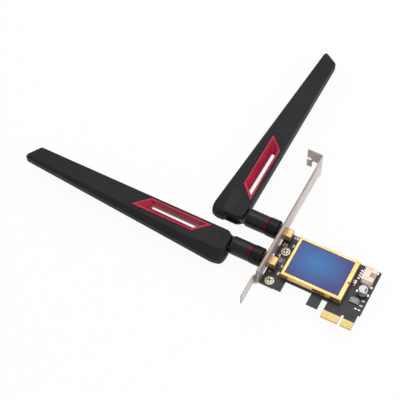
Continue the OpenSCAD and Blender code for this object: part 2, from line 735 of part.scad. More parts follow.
// Room for the barrel's tongue, straight on and folded to the straight edge
module fork_cut() {
    translate([0, 0, -fork_half]) {
        cylinder(r = fork_r, h = 2 * fork_half);
        translate([-3 * ear_r, -fork_r - cut - ear_r, 0]) cube([3 * ear_r, 2 * fork_r + cut + ear_r, 2 * fork_half]);
        translate([-eps, -fork_r - cut - ear_r, 0]) cube([fork_r + eps, fork_r + cut + ear_r, 2 * fork_half]);
    }
}

module blade_front(n) {
    color("#3c3d40") on_hinge(n) blade_half(1);
}

module blade_back(n) {
    color("#3c3d40") on_hinge(n) blade_half(-1);
}

module blade_insert(n) {
    lip_z = root_t / 2 + insert_proud;
    rim_h = 0.2;
    color("#b9283c") on_hinge(n) difference() {
        intersection() {
            translate([0, 0, -root_t]) linear_extrude(2 * root_t) insert_outline(0);
            blade_wedge(lip_z);
        }
        for (side = [-1, 1]) hull() {
            translate([0, 0, side * throat_t / 2 - eps]) linear_extrude(2 * eps) throat_outline();
            rotate([0, side * slope, 0]) translate([0, 0, side * lip_z - rim_h])
                linear_extrude(2 * rim_h) funnel_outline();
        }
        translate([0, 0, -throat_t]) linear_extrude(2 * throat_t) throat_outline();
    }
}

// A wedge that thins towards the tip at the blade's own slope, half_t either side at the hinge axis
module blade_wedge(half_t) {
    fall = tan(slope);
    near = -2 * ear_r;
    rotate([90, 0, 0]) translate([0, 0, -2 * taper_root]) linear_extrude(4 * taper_root) polygon([
        [near, half_t - near * fall], [blade_l, half_t - blade_l * fall],
        [blade_l, -half_t + blade_l * fall], [near, -half_t + near * fall]]);
}

// Where the funnels open in the insert's lip
module funnel_outline() {
    insert_w = insert_edge_v + insert_taper_v;
    stretch = sqrt(insert_slant * insert_slant + insert_w * insert_w) / insert_w;
    low = insert_lip;
    high = insert_w - insert_lip_wide;
    function end_x(v) = insert_near + insert_slant * v / insert_w;
    polygon([
        [end_x(low) + insert_lip_wide * stretch, low - insert_edge_v],
        [end_x(low) + insert_l - insert_lip * stretch, low - insert_edge_v],
        [end_x(high) + insert_l - insert_lip * stretch, high - insert_edge_v],
        [end_x(high) + insert_lip_wide * stretch, high - insert_edge_v]]);
}

// The slot right through the insert, narrower towards the tip
module throat_outline() {
    polygon([
        [throat_near, -throat_edge_v],
        [throat_far, -throat_edge_v],
        [throat_far + 0.5, throat_taper_far_v],
        [throat_near + throat_slant, throat_taper_near_v]]);
}

// Strip antenna printed on a board, held against the blade's straight edge
module radiator(n) {
    board_t = 1;
    board_w = 8;
    board_x0 = insert_near + insert_l + insert_slant + 5.2;
    board_l = 62;
    color("#2f6b46") on_hinge(n) translate([board_x0, -edge_v + shell_t + 0.15, -board_t / 2])
        cube([board_l, board_w, board_t]);
}

// Coax inside the blade, past the insert and up to the radiator
module blade_coax(n) {
    run_v = insert_taper_v + 2.8;
    run_x0 = insert_near + 1.8;
    run_x1 = insert_near + insert_l + insert_slant + 1.2;
    bend = 3;
    end_v = run_v - 5.2;
    color("#8a6a4a") on_hinge(n) {
        translate([run_x0, run_v, 0]) rotate([0, 90, 0]) cylinder(d = coax_d, h = run_x1 - run_x0 + eps, $fn = 24);
        translate([run_x1, run_v - bend, 0]) rotate_extrude(angle = 90) translate([bend, 0]) circle(d = coax_d, $fn = 24);
        translate([run_x1 + bend, run_v - bend + eps, 0]) rotate([90, 0, 0])
            cylinder(d = coax_d, h = run_v - bend - end_v, $fn = 24);
    }
}

// Openings along the shield's long sides, as [place from its near side, length, foot, height]
shield_windows = [[0.5, 5, 3.2, 0.9], [22.6, 8.7, 1.7, 1.3], [34.9, 7, 1.5, 1.1]];
shield_hole = [shield_l - 0.95, shield_w * 0.445];
shield_hole_d = 1.4;

// Folded walls soldered round the radio, with a flange that carries the cover
module shield_fence() {
    inset = shield_t + run_gap;
    wall_l = shield_l - 2 * inset;
    wall_w = shield_w - 2 * inset;
    flange_w = 1.6;
    room = 0.15;
    color("#d8b878") from_bracket() translate([shield_x0, shield_y0, 0]) difference() {
        translate([inset, inset, 0]) cube([wall_l, wall_w, fence_h]);
        translate([inset + shield_t, inset + shield_t, -cut])
            cube([wall_l - 2 * shield_t, wall_w - 2 * shield_t, fence_h - shield_t + cut]);
        translate([inset + flange_w, inset + flange_w, 0])
            cube([wall_l - 2 * flange_w, wall_w - 2 * flange_w, fence_h + cut]);
        for (x = [4 : 8 : wall_l - 4]) translate([inset + x - 1, -cut, -cut]) cube([2, shield_w + 2 * cut, cut + 0.4]);
        for (w = shield_windows) translate([w[0] + inset, -cut, w[2] - room])
            cube([w[1] + room - inset, shield_w + 2 * cut, min(w[3] + 2 * room, fence_h - shield_t - w[2] + room)]);
        translate([shield_hole[0], shield_hole[1], fence_h - shield_t - cut]) cylinder(d = shield_hole_d, h = 3 * cut, $fn = 24);
    }
}

// The pressed cover: a skirt with openings and a shallow panel for the label
module shield_cover() {
    skirt_foot = 0.7;
    bead_x = shield_l - 1.9;
    bead_w = 0.5;
    bead_depth = 0.3;
    color("#f0c86e") from_bracket() translate([shield_x0, shield_y0, 0]) difference() {
        translate([0, 0, skirt_foot]) cube([shield_l, shield_w, shield_h - skirt_foot]);
        translate([shield_t, shield_t, -cut])
            cube([shield_l - 2 * shield_t, shield_w - 2 * shield_t, shield_h - panel_depth - shield_t + cut]);
        translate([panel_near, panel_low, shield_h - panel_depth])
            cube([shield_l - panel_near - panel_far, shield_w - panel_low - panel_high, panel_depth + cut]);
        translate([bead_x - bead_w / 2, 1, shield_h - bead_depth]) cube([bead_w, shield_w - 2, bead_depth + cut]);
        translate([shield_hole[0], shield_hole[1], -cut]) cylinder(d = shield_hole_d, h = shield_h + 2 * cut, $fn = 24);
        for (w = shield_windows, y = [-cut, shield_w - shield_t])
            translate([w[0], y, w[2]]) cube([w[1], shield_t + cut, w[3]]);
    }
}

module shield_label() {
    color("#3c6eb4") from_bracket()
        translate([shield_x0 + panel_near + label_edge, shield_y0 + panel_low + label_edge, shield_h - panel_depth])
            cube([shield_l - panel_near - panel_far - 2 * label_edge, shield_w - panel_low - panel_high - 2 * label_edge, label_t]);
}

module radio_chip() {
    color("#232326") from_bracket() block(shield_x0 + shield_l / 2, shield_y0 + shield_w / 2, [12, 12, 1]);
}

module front_end_chips() {
    color("#2a2a2e") from_bracket() for (y = [7.9, 24.4]) block(shield_x0 + 8.1, shield_y0 + y, [3, 3, 0.8]);
}

module crystal() {
    color("#c6c2b8") from_bracket() block(shield_x1 - 8.3, shield_y1 - 6.6, [3.2, 2.5, 0.9]);
}

// Side-entry header: a hollow housing that opens towards the board's far edge
module header_housing() {
    slot_w = 1.2;
    color("#ebd7cd") from_bracket() translate([header_x, header_y, 0]) difference() {
        union() {
            cube([header_l, header_w, header_h]);
            translate([1, -header_wing_w, 0]) cube([header_l - 3, header_w + 2 * header_wing_w, header_h * 0.6]);
        }
        translate([2, header_wall, header_wall]) cube([header_l, header_w - 2 * header_wall, header_h - 2 * header_wall]);
        translate([header_l - 3.2, header_w / 2 - 1.7, header_h - header_wall - cut]) cube([3.2 + cut, 3.4, header_wall + 2 * cut]);
        for (y = [1.7, header_w - 1.7]) translate([1.4, y - slot_w / 2, header_h - 0.6]) cube([3, slot_w, 1 + cut]);
        for (y = header_pin_y()) translate([-cut, y - header_pin_t / 2 - seat_gap, header_h * 0.45 - header_pin_t / 2 - seat_gap])
            cube([2 + 2 * cut, header_pin_t + 2 * seat_gap, header_pin_t + 2 * seat_gap]);
    }
}

// Middles of the header's contacts, from the housing's lower side
function header_pin_y() =
    [for (i = [0 : header_pins - 1]) header_w / 2 + (i - (header_pins - 1) / 2) * header_pitch];

module header_contacts() {
    tail_l = 2.9;
    pin_z = header_h * 0.45;
    color("#d8d2c6") from_bracket() translate([header_x, header_y, 0]) for (y = header_pin_y())
        translate([0, y - header_pin_t / 2, 0]) {
            translate([-1.2, 0, pin_z - header_pin_t / 2]) cube([header_l - 0.6, header_pin_t, header_pin_t]);
            translate([-1.2, 0, 0]) cube([header_pin_t, header_pin_t, pin_z + header_pin_t / 2]);
            translate([-tail_l, 0, 0]) cube([tail_l - 1.2 + header_pin_t, header_pin_t, 0.3]);
        }
}

module header_tabs() {
    color("#d8d2c6") from_bracket() translate([header_x, header_y, 0]) for (y = [-1.2, header_w])
        translate([header_l - 1.8, y, 0]) cube([2, 1.2, 0.35]);
}

module capacitor_base() {
    corner = 1.4;
    color("#1c1c1e") from_bracket() translate([can_x, can_y, 0]) difference() {
        linear_extrude(base_h) polygon([
            [-base_w / 2, -base_w / 2], [base_w / 2 - corner, -base_w / 2], [base_w / 2, -base_w / 2 + corner],
            [base_w / 2, base_w / 2 - corner], [base_w / 2 - corner, base_w / 2], [-base_w / 2, base_w / 2]]);
        for (side = [-1, 1]) translate([side * (base_w / 2 - 1.3) - 1.4, -0.5, -cut]) cube([2.8, 1, cut + 0.25]);
    }
}

module capacitor_can() {
    r = can_d / 2;
    neck_z = base_h + 0.9;
    color("#c9c9cc") from_bracket() translate([can_x, can_y, 0]) rotate_extrude() polygon([
        [0, base_h], [r - 0.3, base_h], [r, base_h + 0.3], [r, neck_z - 0.25], [r - 0.3, neck_z],
        [r, neck_z + 0.25], [r, can_h - 0.5], [r - 0.15, can_h - 0.15], [r - 0.5, can_h], [0, can_h]]);
}

module capacitor_terminals() {
    color("#d8d8da") from_bracket() translate([can_x, can_y, 0]) for (side = [-1, 1])
        translate([side * (base_w / 2 - 0.7) - 1.25, -0.4, 0]) cube([2.5, 0.8, 0.22]);
}

module power_inductor() {
    color("#8b8a8e") from_bracket() block(6.9, 24.6, [3, 3.4, 1.5]);
}

// Regulator beyond the shield: its body stands between two rows of leads
chip_x = shield_x1 + 7;
chip_y = 20;
chip_l = 4.6;
chip_w = 3.9;

module regulator_chip() {
    color("#8f8c96") from_bracket() block(chip_x, chip_y, [chip_l, chip_w, 1.2], 0.1);
}

module regulator_leads() {
    lead_w = 0.45;
    foot_l = 0.9;
    color("#d8d2c6") from_bracket() for (side = [-1, 1], dy = [-1.27, 0, 1.27])
        translate([chip_x + side * chip_l / 2, chip_y + dy, 0]) mirror([side < 0 ? 1 : 0, 0, 0]) {
            translate([0, -lead_w / 2, 0.45]) cube([0.5, lead_w, 0.25]);
            translate([0.25, -lead_w / 2, 0]) cube([0.25, lead_w, 0.7]);
            translate([0.25, -lead_w / 2, 0]) cube([foot_l - 0.25, lead_w, 0.25]);
        }
}

// Small parts with metal ends, as [x, y, turned]
resistors = [[shield_x1 + 12.2, 22.2, 0], [shield_x1 + 12.3, 18.4, 0], [9.6, 38.6, 1], [9.4, 15.6, 1]];
capacitors = [[4.2, 37.2, 0], [8.6, 45, 0], [3.8, 14.4, 0], [10, 21.4, 0], [4.2, 28.2, 1],
    [shield_x1 + 4, 45.6, 0], [shield_x1 + 2.2, 30.6, 1], [shield_x1 + 1.4, 33, 1]];

module chip_part(size, place) {
    translate([place[0], place[1], 0]) rotate([0, 0, place[2] * 90]) block(0, 0, size);
}

module chip_resistors() {
    color("#3a3a3c") from_bracket() for (place = resistors) chip_part([2, 1.2, 0.5], place);
}

module chip_capacitors() {
    color("#a08a74") from_bracket() for (place = capacitors) chip_part([1.6, 0.8, 0.8], place);
}

pcb();
edge_contacts();
bracket();
bracket_screws();
lock_washers();
jack_nuts();
shield_fence();
shield_cover();
shield_label();
radio_chip();
front_end_chips();
crystal();
header_housing();
header_contacts();
header_tabs();
capacitor_base();
capacitor_can();
capacitor_terminals();
power_inductor();
regulator_chip();
regulator_leads();
chip_resistors();
chip_capacitors();

for (n = [1, 2]) {
    jack_body(n);
    jack_insulator(n);
    jack_pin(n);
    collar(n);
    coupling_nut(n);
    plug_shell(n);
    plug_insulator(n);
    plug_contact(n);
    barrel(n);
    accent_ring(n);
    barrel_coax(n);
    hinge_pin(n);
    blade_front(n);
    blade_back(n);
    blade_insert(n);
    radiator(n);
    blade_coax(n);
}
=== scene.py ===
import math

import bpy
from mathutils import Matrix, Vector


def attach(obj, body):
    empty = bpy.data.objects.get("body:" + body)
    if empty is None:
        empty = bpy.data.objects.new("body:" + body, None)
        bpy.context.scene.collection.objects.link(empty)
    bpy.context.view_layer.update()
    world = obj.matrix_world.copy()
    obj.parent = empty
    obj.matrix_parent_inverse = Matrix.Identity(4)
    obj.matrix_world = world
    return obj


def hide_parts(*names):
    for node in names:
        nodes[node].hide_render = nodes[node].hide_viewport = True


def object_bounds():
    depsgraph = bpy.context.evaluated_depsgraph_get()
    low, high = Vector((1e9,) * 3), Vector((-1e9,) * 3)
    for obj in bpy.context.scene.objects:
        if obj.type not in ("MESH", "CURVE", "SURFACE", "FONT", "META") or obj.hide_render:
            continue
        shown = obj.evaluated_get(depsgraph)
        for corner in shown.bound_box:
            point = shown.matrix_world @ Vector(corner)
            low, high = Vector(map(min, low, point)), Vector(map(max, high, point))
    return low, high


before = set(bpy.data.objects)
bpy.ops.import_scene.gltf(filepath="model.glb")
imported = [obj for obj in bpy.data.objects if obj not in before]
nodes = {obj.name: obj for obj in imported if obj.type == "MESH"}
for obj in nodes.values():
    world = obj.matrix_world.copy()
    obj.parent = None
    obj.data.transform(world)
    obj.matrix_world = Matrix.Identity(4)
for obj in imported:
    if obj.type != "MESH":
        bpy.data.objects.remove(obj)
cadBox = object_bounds()
mm = 0.001
smoothAngle = 35  # faces that meet at less than this are shaded as one round face

# Lengths are in millimetres from the bracket's inner face, the foot of the fingers and the board's top face
card = {"bracketToKey": 58.95, "boardHalf": 0.785, "jackY": (42.88, 19.32), "jackZ": 3.9}


def place(x, y, z):
    return Vector((x - card["bracketToKey"], y, z + card["boardHalf"])) * mm


# Camera first: solved from the edge connector and the bracket in the photo
cameraFit = {
    "spot": (0.105094, -0.372245, 0.734561),
    "right": (0.88450627, 0.46644763, -0.00867525),
    "up": (-0.38815496, 0.74610448, 0.54098412),
    "back": (0.25881341, -0.47513651, 0.84098806),
    "lensMm": 117.15,
    "sensorMm": 36.0,
}
cameraData = bpy.data.cameras.new("camera")
cameraData.lens = cameraFit["lensMm"]
cameraData.sensor_width = cameraFit["sensorMm"]
cameraData.clip_start = 0.01
camera = bpy.data.objects.new("camera", cameraData)
bpy.context.scene.collection.objects.link(camera)
turn = Matrix((cameraFit["right"], cameraFit["up"], cameraFit["back"])).transposed().to_4x4()
camera.matrix_world = Matrix.Translation(cameraFit["spot"]) @ turn
bpy.context.scene.camera = camera
bpy.context.scene.view_settings.view_transform = "Standard"
print("camera placed")


# Tools for shaping
def clearSelection():
    if bpy.context.object and bpy.context.object.mode != "OBJECT":
        bpy.ops.object.mode_set(mode="OBJECT")
    bpy.ops.object.select_all(action="DESELECT")


def pick(piece):
    clearSelection()
    piece.select_set(True)
    bpy.context.view_layer.objects.active = piece


def tidyMesh(piece):
    pick(piece)
    bpy.ops.object.mode_set(mode="EDIT")
    bpy.ops.mesh.select_all(action="SELECT")
    bpy.ops.mesh.remove_doubles(threshold=0.000001)
    bpy.ops.mesh.dissolve_degenerate(threshold=0.0000005)
    bpy.ops.mesh.delete_loose()
    bpy.ops.mesh.normals_make_consistent(inside=False)
    bpy.ops.object.mode_set(mode="OBJECT")


def useModifier(piece, kind, **settings):
    pick(piece)
    modifier = piece.modifiers.new(kind.lower(), kind)
    for name, value in settings.items():
        setattr(modifier, name, value)
    bpy.ops.object.modifier_apply(modifier=modifier.name)


def easeEdges(piece, widthMm, segments=2, angle=30):
    useModifier(piece, "BEVEL", width=widthMm * mm, segments=segments, limit_method="ANGLE",
                angle_limit=math.radians(angle), use_clamp_overlap=False, harden_normals=False)


# Angle in degrees between the two faces at each edge
def edgeTurns(piece):
    facing = {}
    for polygon in piece.data.polygons:
        for key in polygon.edge_keys:
            facing.setdefault(key, []).append(polygon.normal)
    return {key: math.degrees(pair[0].angle(pair[1], 0)) if len(pair) == 2 else 0
            for key, pair in facing.items()}


# A bevel that asks for a weight at each edge, from its two ends and the turn between its faces
def easeByWeight(piece, widthMm, weightOf):
    weights = piece.data.attributes.new("bevel_weight_edge", "FLOAT", "EDGE")
    points, turns = piece.data.vertices, edgeTurns(piece)
    for count, item in enumerate(piece.data.edges):
        first, last = (points[v].co for v in item.vertices)
        weights.data[count].value = weightOf(first, last, turns.get(item.key, 0))
    useModifier(piece, "BEVEL", width=widthMm * mm, segments=3, limit_method="WEIGHT", use_clamp_overlap=False)


def carve(piece, cutter):
    useModifier(piece, "BOOLEAN", operation="DIFFERENCE", object=cutter, solver="EXACT")
    bpy.data.objects.remove(cutter)


def join(piece, other):
    useModifier(piece, "BOOLEAN", operation="UNION", object=other, solver="EXACT")
    bpy.data.objects.remove(other)


# A closed form through rings of points, one extrusion for each ring after the first
def loft(name, rings):
    clearSelection()
    bpy.ops.mesh.primitive_circle_add(vertices=len(rings[0]), radius=mm, fill_type="NGON")
    piece = bpy.context.object
    piece.name = name
    piece.matrix_world = Matrix.Identity(4)
    for vertex, point in zip(piece.data.vertices, rings[0]):
        vertex.co = Vector(point) * mm
    bpy.ops.object.mode_set(mode="EDIT")
    bpy.ops.mesh.select_all(action="SELECT")
    for before, after in zip(rings, rings[1:]):
        bpy.ops.mesh.extrude_region_move()
        bpy.ops.object.mode_set(mode="OBJECT")
        homes = [Vector(point) * mm for point in before]
        for vertex in piece.data.vertices:
            if vertex.select:
                nearest = min(range(len(homes)), key=lambda i: (homes[i] - vertex.co).length)
                vertex.co = Vector(after[nearest]) * mm
        bpy.ops.object.mode_set(mode="EDIT")
    bpy.ops.object.mode_set(mode="OBJECT")
    tidyMesh(piece)
    return piece


# Points of a circle of (x, y) at the given degrees
def pointsAt(radius, degrees, middle=(0, 0)):
    turns = [math.radians(a) for a in degrees]
    return [(middle[0] + radius * math.cos(a), middle[1] + radius * math.sin(a)) for a in turns]


def evenly(first, last, count):
    return [first + (last - first) * i / (count - 1) for i in range(count)]


# An upright prism on an outline of (x, y)
def prism(name, outline, low, high):
    return loft(name, [[(x, y, low) for x, y in outline], [(x, y, high) for x, y in outline]])


# A turned form: a closed profile of (distance, radius) spun round the X axis
def turned(name, profile, steps):
    clearSelection()
    bpy.ops.mesh.primitive_circle_add(vertices=len(profile), radius=mm, fill_type="NOTHING")
    piece = bpy.context.object
    piece.name = name
    piece.matrix_world = Matrix.Identity(4)
    for vertex, (along, radius) in zip(piece.data.vertices, profile):
        vertex.co = Vector((along, 0, radius)) * mm
    bpy.ops.object.mode_set(mode="EDIT")
    bpy.ops.mesh.select_all(action="SELECT")
    bpy.ops.mesh.spin(steps=steps, angle=math.tau, center=(0, 0, 0), axis=(1, 0, 0))
    bpy.ops.object.mode_set(mode="OBJECT")
    tidyMesh(piece)
    return piece


def boxAt(name, low, high):
    clearSelection()
    size = Vector(high) - Vector(low)
    bpy.ops.mesh.primitive_cube_add(size=1, location=(Vector(low) + size / 2) * mm, scale=size * mm)
    piece = bpy.context.object
    piece.name = name
    bpy.ops.object.transform_apply(location=True, rotation=True, scale=True)
    return piece


def moved(piece, matrix):
    piece.data.transform(matrix)
    piece.data.update()
    return piece


def copied(piece, name, matrix, mirrored=False):
    twin = bpy.data.objects.new(name, piece.data.copy())
    bpy.context.scene.collection.objects.link(twin)
    if mirrored:
        twin.data.transform(Matrix.Scale(-1, 4, (0, 0, 1)))
        twin.data.flip_normals()
    twin.data.transform(matrix)
    return twin


# A copy of a CAD node's mesh, its triangles joined back into flat faces
def nodeCopy(nodeName, name):
    piece = bpy.data.objects.new(name, nodes[nodeName].data.copy())
    bpy.context.scene.collection.objects.link(piece)
    pick(piece)
    bpy.ops.mesh.customdata_custom_splitnormals_clear()
    bpy.ops.object.mode_set(mode="EDIT")
    bpy.ops.mesh.select_all(action="SELECT")
    bpy.ops.mesh.remove_doubles(threshold=0.000002)
    bpy.ops.mesh.dissolve_limited(angle_limit=math.radians(0.4))
    bpy.ops.object.mode_set(mode="OBJECT")
    return piece


def easedNode(nodeName, name, widthMm, segments=2):
    piece = nodeCopy(nodeName, name)
    easeEdges(piece, widthMm, segments)
    return piece


def fitOut(piece, body, material, replaced=()):
    pick(piece)
    bpy.ops.object.shade_smooth_by_angle(angle=math.radians(smoothAngle))
    useModifier(piece, "WEIGHTED_NORMAL", keep_sharp=True)
    piece.data.materials.clear()
    piece.data.materials.append(material)
    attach(piece, body)
    if replaced:
        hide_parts(*replaced)
    return piece


# A CAD shape of the card that only needs its edges eased; its piece has the node's name in camel case
def easeAndFit(nodeName, widthMm, segments, material):
    first, *others = nodeName.split("_")
    name = first + "".join(word.capitalize() for word in others)
    fitOut(easedNode(nodeName, name, widthMm, segments), "card", material, [nodeName])


# Tools for materials
def linearColor(hexText):
    values = [int(hexText[i:i + 2], 16) / 255 for i in (0, 2, 4)]
    return tuple(v / 12.92 if v <= 0.04045 else ((v + 0.055) / 1.055) ** 2.4 for v in values) + (1.0,)


def addNode(tree, kind, settings=None, **inputs):
    node = tree.nodes.new(kind)
    for name, value in (settings or {}).items():
        setattr(node, name, value)
    for name, value in inputs.items():
        socket = node.inputs[int(name[1:])] if name[1:].isdigit() else node.inputs[name]
        if isinstance(value, bpy.types.NodeSocket):
            tree.links.new(value, socket)
        else:
            socket.default_value = value
    return node


def newMaterial(name, hexText, roughness, metallic=0.0, ior=None, shine=0.5):
    material = bpy.data.materials.new(name)
    material.use_nodes = True
    tree = material.node_tree
    shader = tree.nodes["Principled BSDF"]
    shader.inputs["Base Color"].default_value = linearColor(hexText)
    shader.inputs["Roughness"].default_value = roughness
    shader.inputs["Metallic"].default_value = metallic
    shader.inputs["Specular IOR Level"].default_value = shine
    if ior:
        shader.inputs["IOR"].default_value = ior
    spots = addNode(tree, "ShaderNodeTexCoord").outputs["Object"]
    return material, tree, shader, spots


# A ramp from a dark shade to a light one, between two levels of a factor
def shadeRamp(tree, shader, factor, darkHex, lightHex, low, high):
    ramp = addNode(tree, "ShaderNodeValToRGB", Fac=factor)
    for element, level, hexText in zip(ramp.color_ramp.elements, (low, high), (darkHex, lightHex)):
        element.position = level
        element.color = linearColor(hexText)
    tree.links.new(ramp.outputs["Color"], shader.inputs["Base Color"])


def noise(tree, spots, sizeMm, detail, stretch=None):
    if stretch:
        spots = addNode(tree, "ShaderNodeMapping", Vector=spots, Scale=stretch).outputs["Vector"]
    return addNode(tree, "ShaderNodeTexNoise", Vector=spots, Scale=1 / (sizeMm * mm), Detail=detail).outputs["Fac"]


# Slow change of colour between two shades, over patches of a real size
def mottle(tree, shader, spots, darkHex, lightHex, patchMm):
    shadeRamp(tree, shader, noise(tree, spots, patchMm, 4.0), darkHex, lightHex, 0.35, 0.65)


# Roughness that wanders between two values
def wander(tree, shader, spots, low, high, patchMm, stretch=(1, 1, 1)):
    span = addNode(tree, "ShaderNodeMapRange", Value=noise(tree, spots, patchMm, 3.0, stretch),
                   **{"From Min": 0.3, "From Max": 0.7, "To Min": low, "To Max": high})
    tree.links.new(span.outputs["Result"], shader.inputs["Roughness"])


# Relief of grains of a real size and depth
def relief(tree, shader, spots, grainMm, depthMm, stretch):
    bump = addNode(tree, "ShaderNodeBump", Height=noise(tree, spots, grainMm, 2.0, stretch), Distance=depthMm * mm)
    tree.links.new(bump.outputs["Normal"], shader.inputs["Normal"])


def plainFinish(name, darkHex, lightHex, roughness, metallic=0.0, patchMm=2.0, grainMm=0.25, depthMm=0.01,
                spread=0.06, stretch=(1, 1, 1), ior=None, shine=0.5):
    material, tree, shader, spots = newMaterial(name, lightHex, roughness, metallic, ior, shine)
    mottle(tree, shader, spots, darkHex, lightHex, patchMm)
    wander(tree, shader, spots, roughness - spread, roughness + spread, patchMm * 0.7, stretch)
    relief(tree, shader, spots, grainMm, depthMm, stretch)
    return material


# Painted reflection of the black board round a metal part's foot: darker between two heights
def shadeFoot(material, lowZ, highZ, share):
    tree = material.node_tree
    shader = tree.nodes["Principled BSDF"]
    height = addNode(tree, "ShaderNodeSeparateXYZ", Vector=addNode(tree, "ShaderNodeTexCoord").outputs["Object"])
    rise = addNode(tree, "ShaderNodeMapRange", Value=height.outputs["Z"],
                   **{"From Min": lowZ * mm, "From Max": highZ * mm, "To Min": share, "To Max": 1.0})
    color = shader.inputs["Base Color"].links[0].from_socket
    dark = addNode(tree, "ShaderNodeVectorMath", {"operation": "SCALE"}, _0=color, Scale=rise.outputs["Result"])
    tree.links.new(dark.outputs["Vector"], shader.inputs["Base Color"])


# Grain that several finishes share
polishedMould = {"grainMm": 0.6, "depthMm": 0.006, "ior": 1.5}
rolledSheet = {"patchMm": 9, "grainMm": 0.5, "depthMm": 0.006, "stretch": (1, 0.12, 1)}
brushedRing = {"patchMm": 6, "stretch": (6, 0.6, 0.6)}

# Moulded ABS with a fine spark-eroded texture: even, satin, slightly paler where it faces the light
texturedAbs = plainFinish("texturedBlackAbs", "1a1a1c", "212124", 0.5, patchMm=30, grainMm=0.5, depthMm=0.012,
                          ior=1.5, shine=0.18)
# Moulded black plastic, smoother than the blades: tighter highlights on the round parts
smoothAbs = plainFinish("smoothBlackAbs", "0d0d0f", "131316", 0.42, patchMm=12, shine=0.35, **polishedMould)
# The collars are the deepest black of all: nothing but a thin sheen along their length
deepAbs = plainFinish("deepBlackAbs", "060607", "0a0a0b", 0.42, patchMm=12, shine=0.25, **polishedMould)
# Red moulded plastic with a satin skin
redAbs = plainFinish("satinRedAbs", "a01c38", "b62645", 0.42, patchMm=14, shine=0.3, **polishedMould)
# Dark red anodised beads of the ring, and the nearly black band between them
redAnodised = plainFinish("redAnodisedAluminium", "5e0c20", "7a152e", 0.34, metallic=0.6, **brushedRing)
darkAnodised = plainFinish("purpleBlackAnodising", "1c0c16", "2b121f", 0.36, metallic=0.5, **brushedRing)
# Nickel-plated steel sheet: soft warm grey with a faint rolled grain along the bracket
nickelSteel = plainFinish("nickelPlatedSteel", "a0968f", "aea49e", 0.45, metallic=0.5, **rolledSheet)
# The bracket's inner face and its other faces turned to +X: the same nickel-plated sheet painted paler, as painted
# light
litNickelSteel = plainFinish("plainRolledSteelSheet", "ccc2bd", "dcd3cf", 0.42, metallic=0.35, **rolledSheet)
# Zinc-plated steel screws, faintly yellow: bright on the dome, with painted shade in the cross recess and on the
# dome's lower side
zincSteel = plainFinish("zincPlatedSteel", "dcd4bc", "f2ecda", 0.32, metallic=0.55, patchMm=2, spread=0.08)
recessShade = plainFinish("dullZincInRecess", "4b4336", "625846", 0.5, metallic=0.6, patchMm=1)
# Gold-flashed brass, machined: clean and bright, with a painted reflection of the board darkening its foot
goldBrass = plainFinish("goldFlashedBrass", "c19c6b", "d6b888", 0.34, metallic=0.7, patchMm=2.5, grainMm=0.3)
shadeFoot(goldBrass, 1.0, 7.2, 0.3)
# Nut and washer outside the bracket: the same brass, painted nearly black as painted shade beside the bracket
shadedBrass = plainFinish("blackPlatedBrass", "14120f", "1e1b17", 0.45, metallic=0.3, patchMm=2)
# Turned brass of the hidden coupling parts: warm, with fine rings from the lathe
turnedBrass = plainFinish("turnedBrass", "b9924a", "d6b06a", 0.28, metallic=1.0, patchMm=2,
                          stretch=(5, 0.5, 0.5))
# Hard gold plating on the edge contacts: pale gold, fine scuffs along the way the card is pushed in
hardGold = plainFinish("hardGoldPlating", "cdb36f", "deca8a", 0.38, metallic=0.45, patchMm=1.5,
                       stretch=(2, 0.2, 1))
# Gold-toned plated sheet of the shield: satin, with soft cloudy patches from rolling
shieldSheet = plainFinish("goldTonedPlatedSheet", "e0b56d", "edc98b", 0.36, metallic=0.65, patchMm=8,
                          grainMm=0.7, depthMm=0.008, stretch=(0.3, 1, 1))
# Painted reflection of the black board: the shield's sides darker towards their foot
shadeFoot(shieldSheet, 0.7, 4.6, 0.7)
# Fence under the cover: the same plating, brighter where the cover has kept it clean
fencePlate = plainFinish("brightPlatedSheet", "e9cd8c", "f7e2ad", 0.3, metallic=0.7, patchMm=6, grainMm=0.7)
# Natural nylon of the header: pale, slightly pink
naturalNylon = plainFinish("naturalNylon", "f0dac8", "fae9da", 0.42, patchMm=4, grainMm=0.3, ior=1.53)
# Tin plating on leads and tabs: soft bright grey
tinPlate = plainFinish("tinPlatedCopper", "d0ccc5", "ece8e1", 0.34, metallic=0.65, patchMm=1)
# Solder fillets: bright grey, a little lumpy
solder = plainFinish("solderFillet", "a9a8a6", "d2d1cf", 0.24, metallic=0.95, patchMm=1.2, grainMm=0.5,
                     depthMm=0.03)
# Drawn aluminium of the can: even grey, its streaks upright
drawnAluminium = plainFinish("drawnAluminium", "a8a8ab", "c4c4c7", 0.34, metallic=0.65, patchMm=3,
                             stretch=(1, 1, 0.2))
# Moulded epoxy of the chips: matt, fine grit
mouldedEpoxy = plainFinish("mouldedEpoxy", "2c2b2f", "3a393e", 0.55, patchMm=1.5, grainMm=0.12)
# Laser-frosted epoxy of the regulator: pale grey with a violet cast
frostedEpoxy = plainFinish("frostedEpoxy", "85828d", "9c99a4", 0.5, patchMm=1.2, grainMm=0.12)
# Black polyamide of the capacitor's base: matt, one shade above black
blackNylon = plainFinish("blackNylon", "161618", "222225", 0.48, patchMm=2, grainMm=0.2)
# Pressed ferrite with its grey coat: stony and a little rough
greyFerrite = plainFinish("greyFerrite", "76757a", "98979c", 0.5, patchMm=1.2, grainMm=0.15, depthMm=0.02)
# White alumina of the resistors, under a pale glaze
glazedAlumina = plainFinish("glazedAlumina", "b9ab92", "d9cdb7", 0.4, patchMm=0.8, grainMm=0.1)
# Fired ceramic of the small capacitors: warm tan
firedCeramic = plainFinish("firedCeramic", "8a7460", "b3977c", 0.42, patchMm=0.8, grainMm=0.1)
# Fluoropolymer: waxy, white round the contacts and brown on the coax
whiteFluoropolymer = plainFinish("whiteFluoropolymer", "e9e6de", "f7f4ee", 0.38, patchMm=2, ior=1.38)
brownFluoropolymer = plainFinish("brownFluoropolymer", "7a5a3c", "97724f", 0.36, patchMm=3, ior=1.38)
# Green laminate of the antenna board, mottled by its weave
greenLaminate = plainFinish("greenLaminate", "255c3a", "34764c", 0.4, patchMm=0.8, grainMm=0.4)
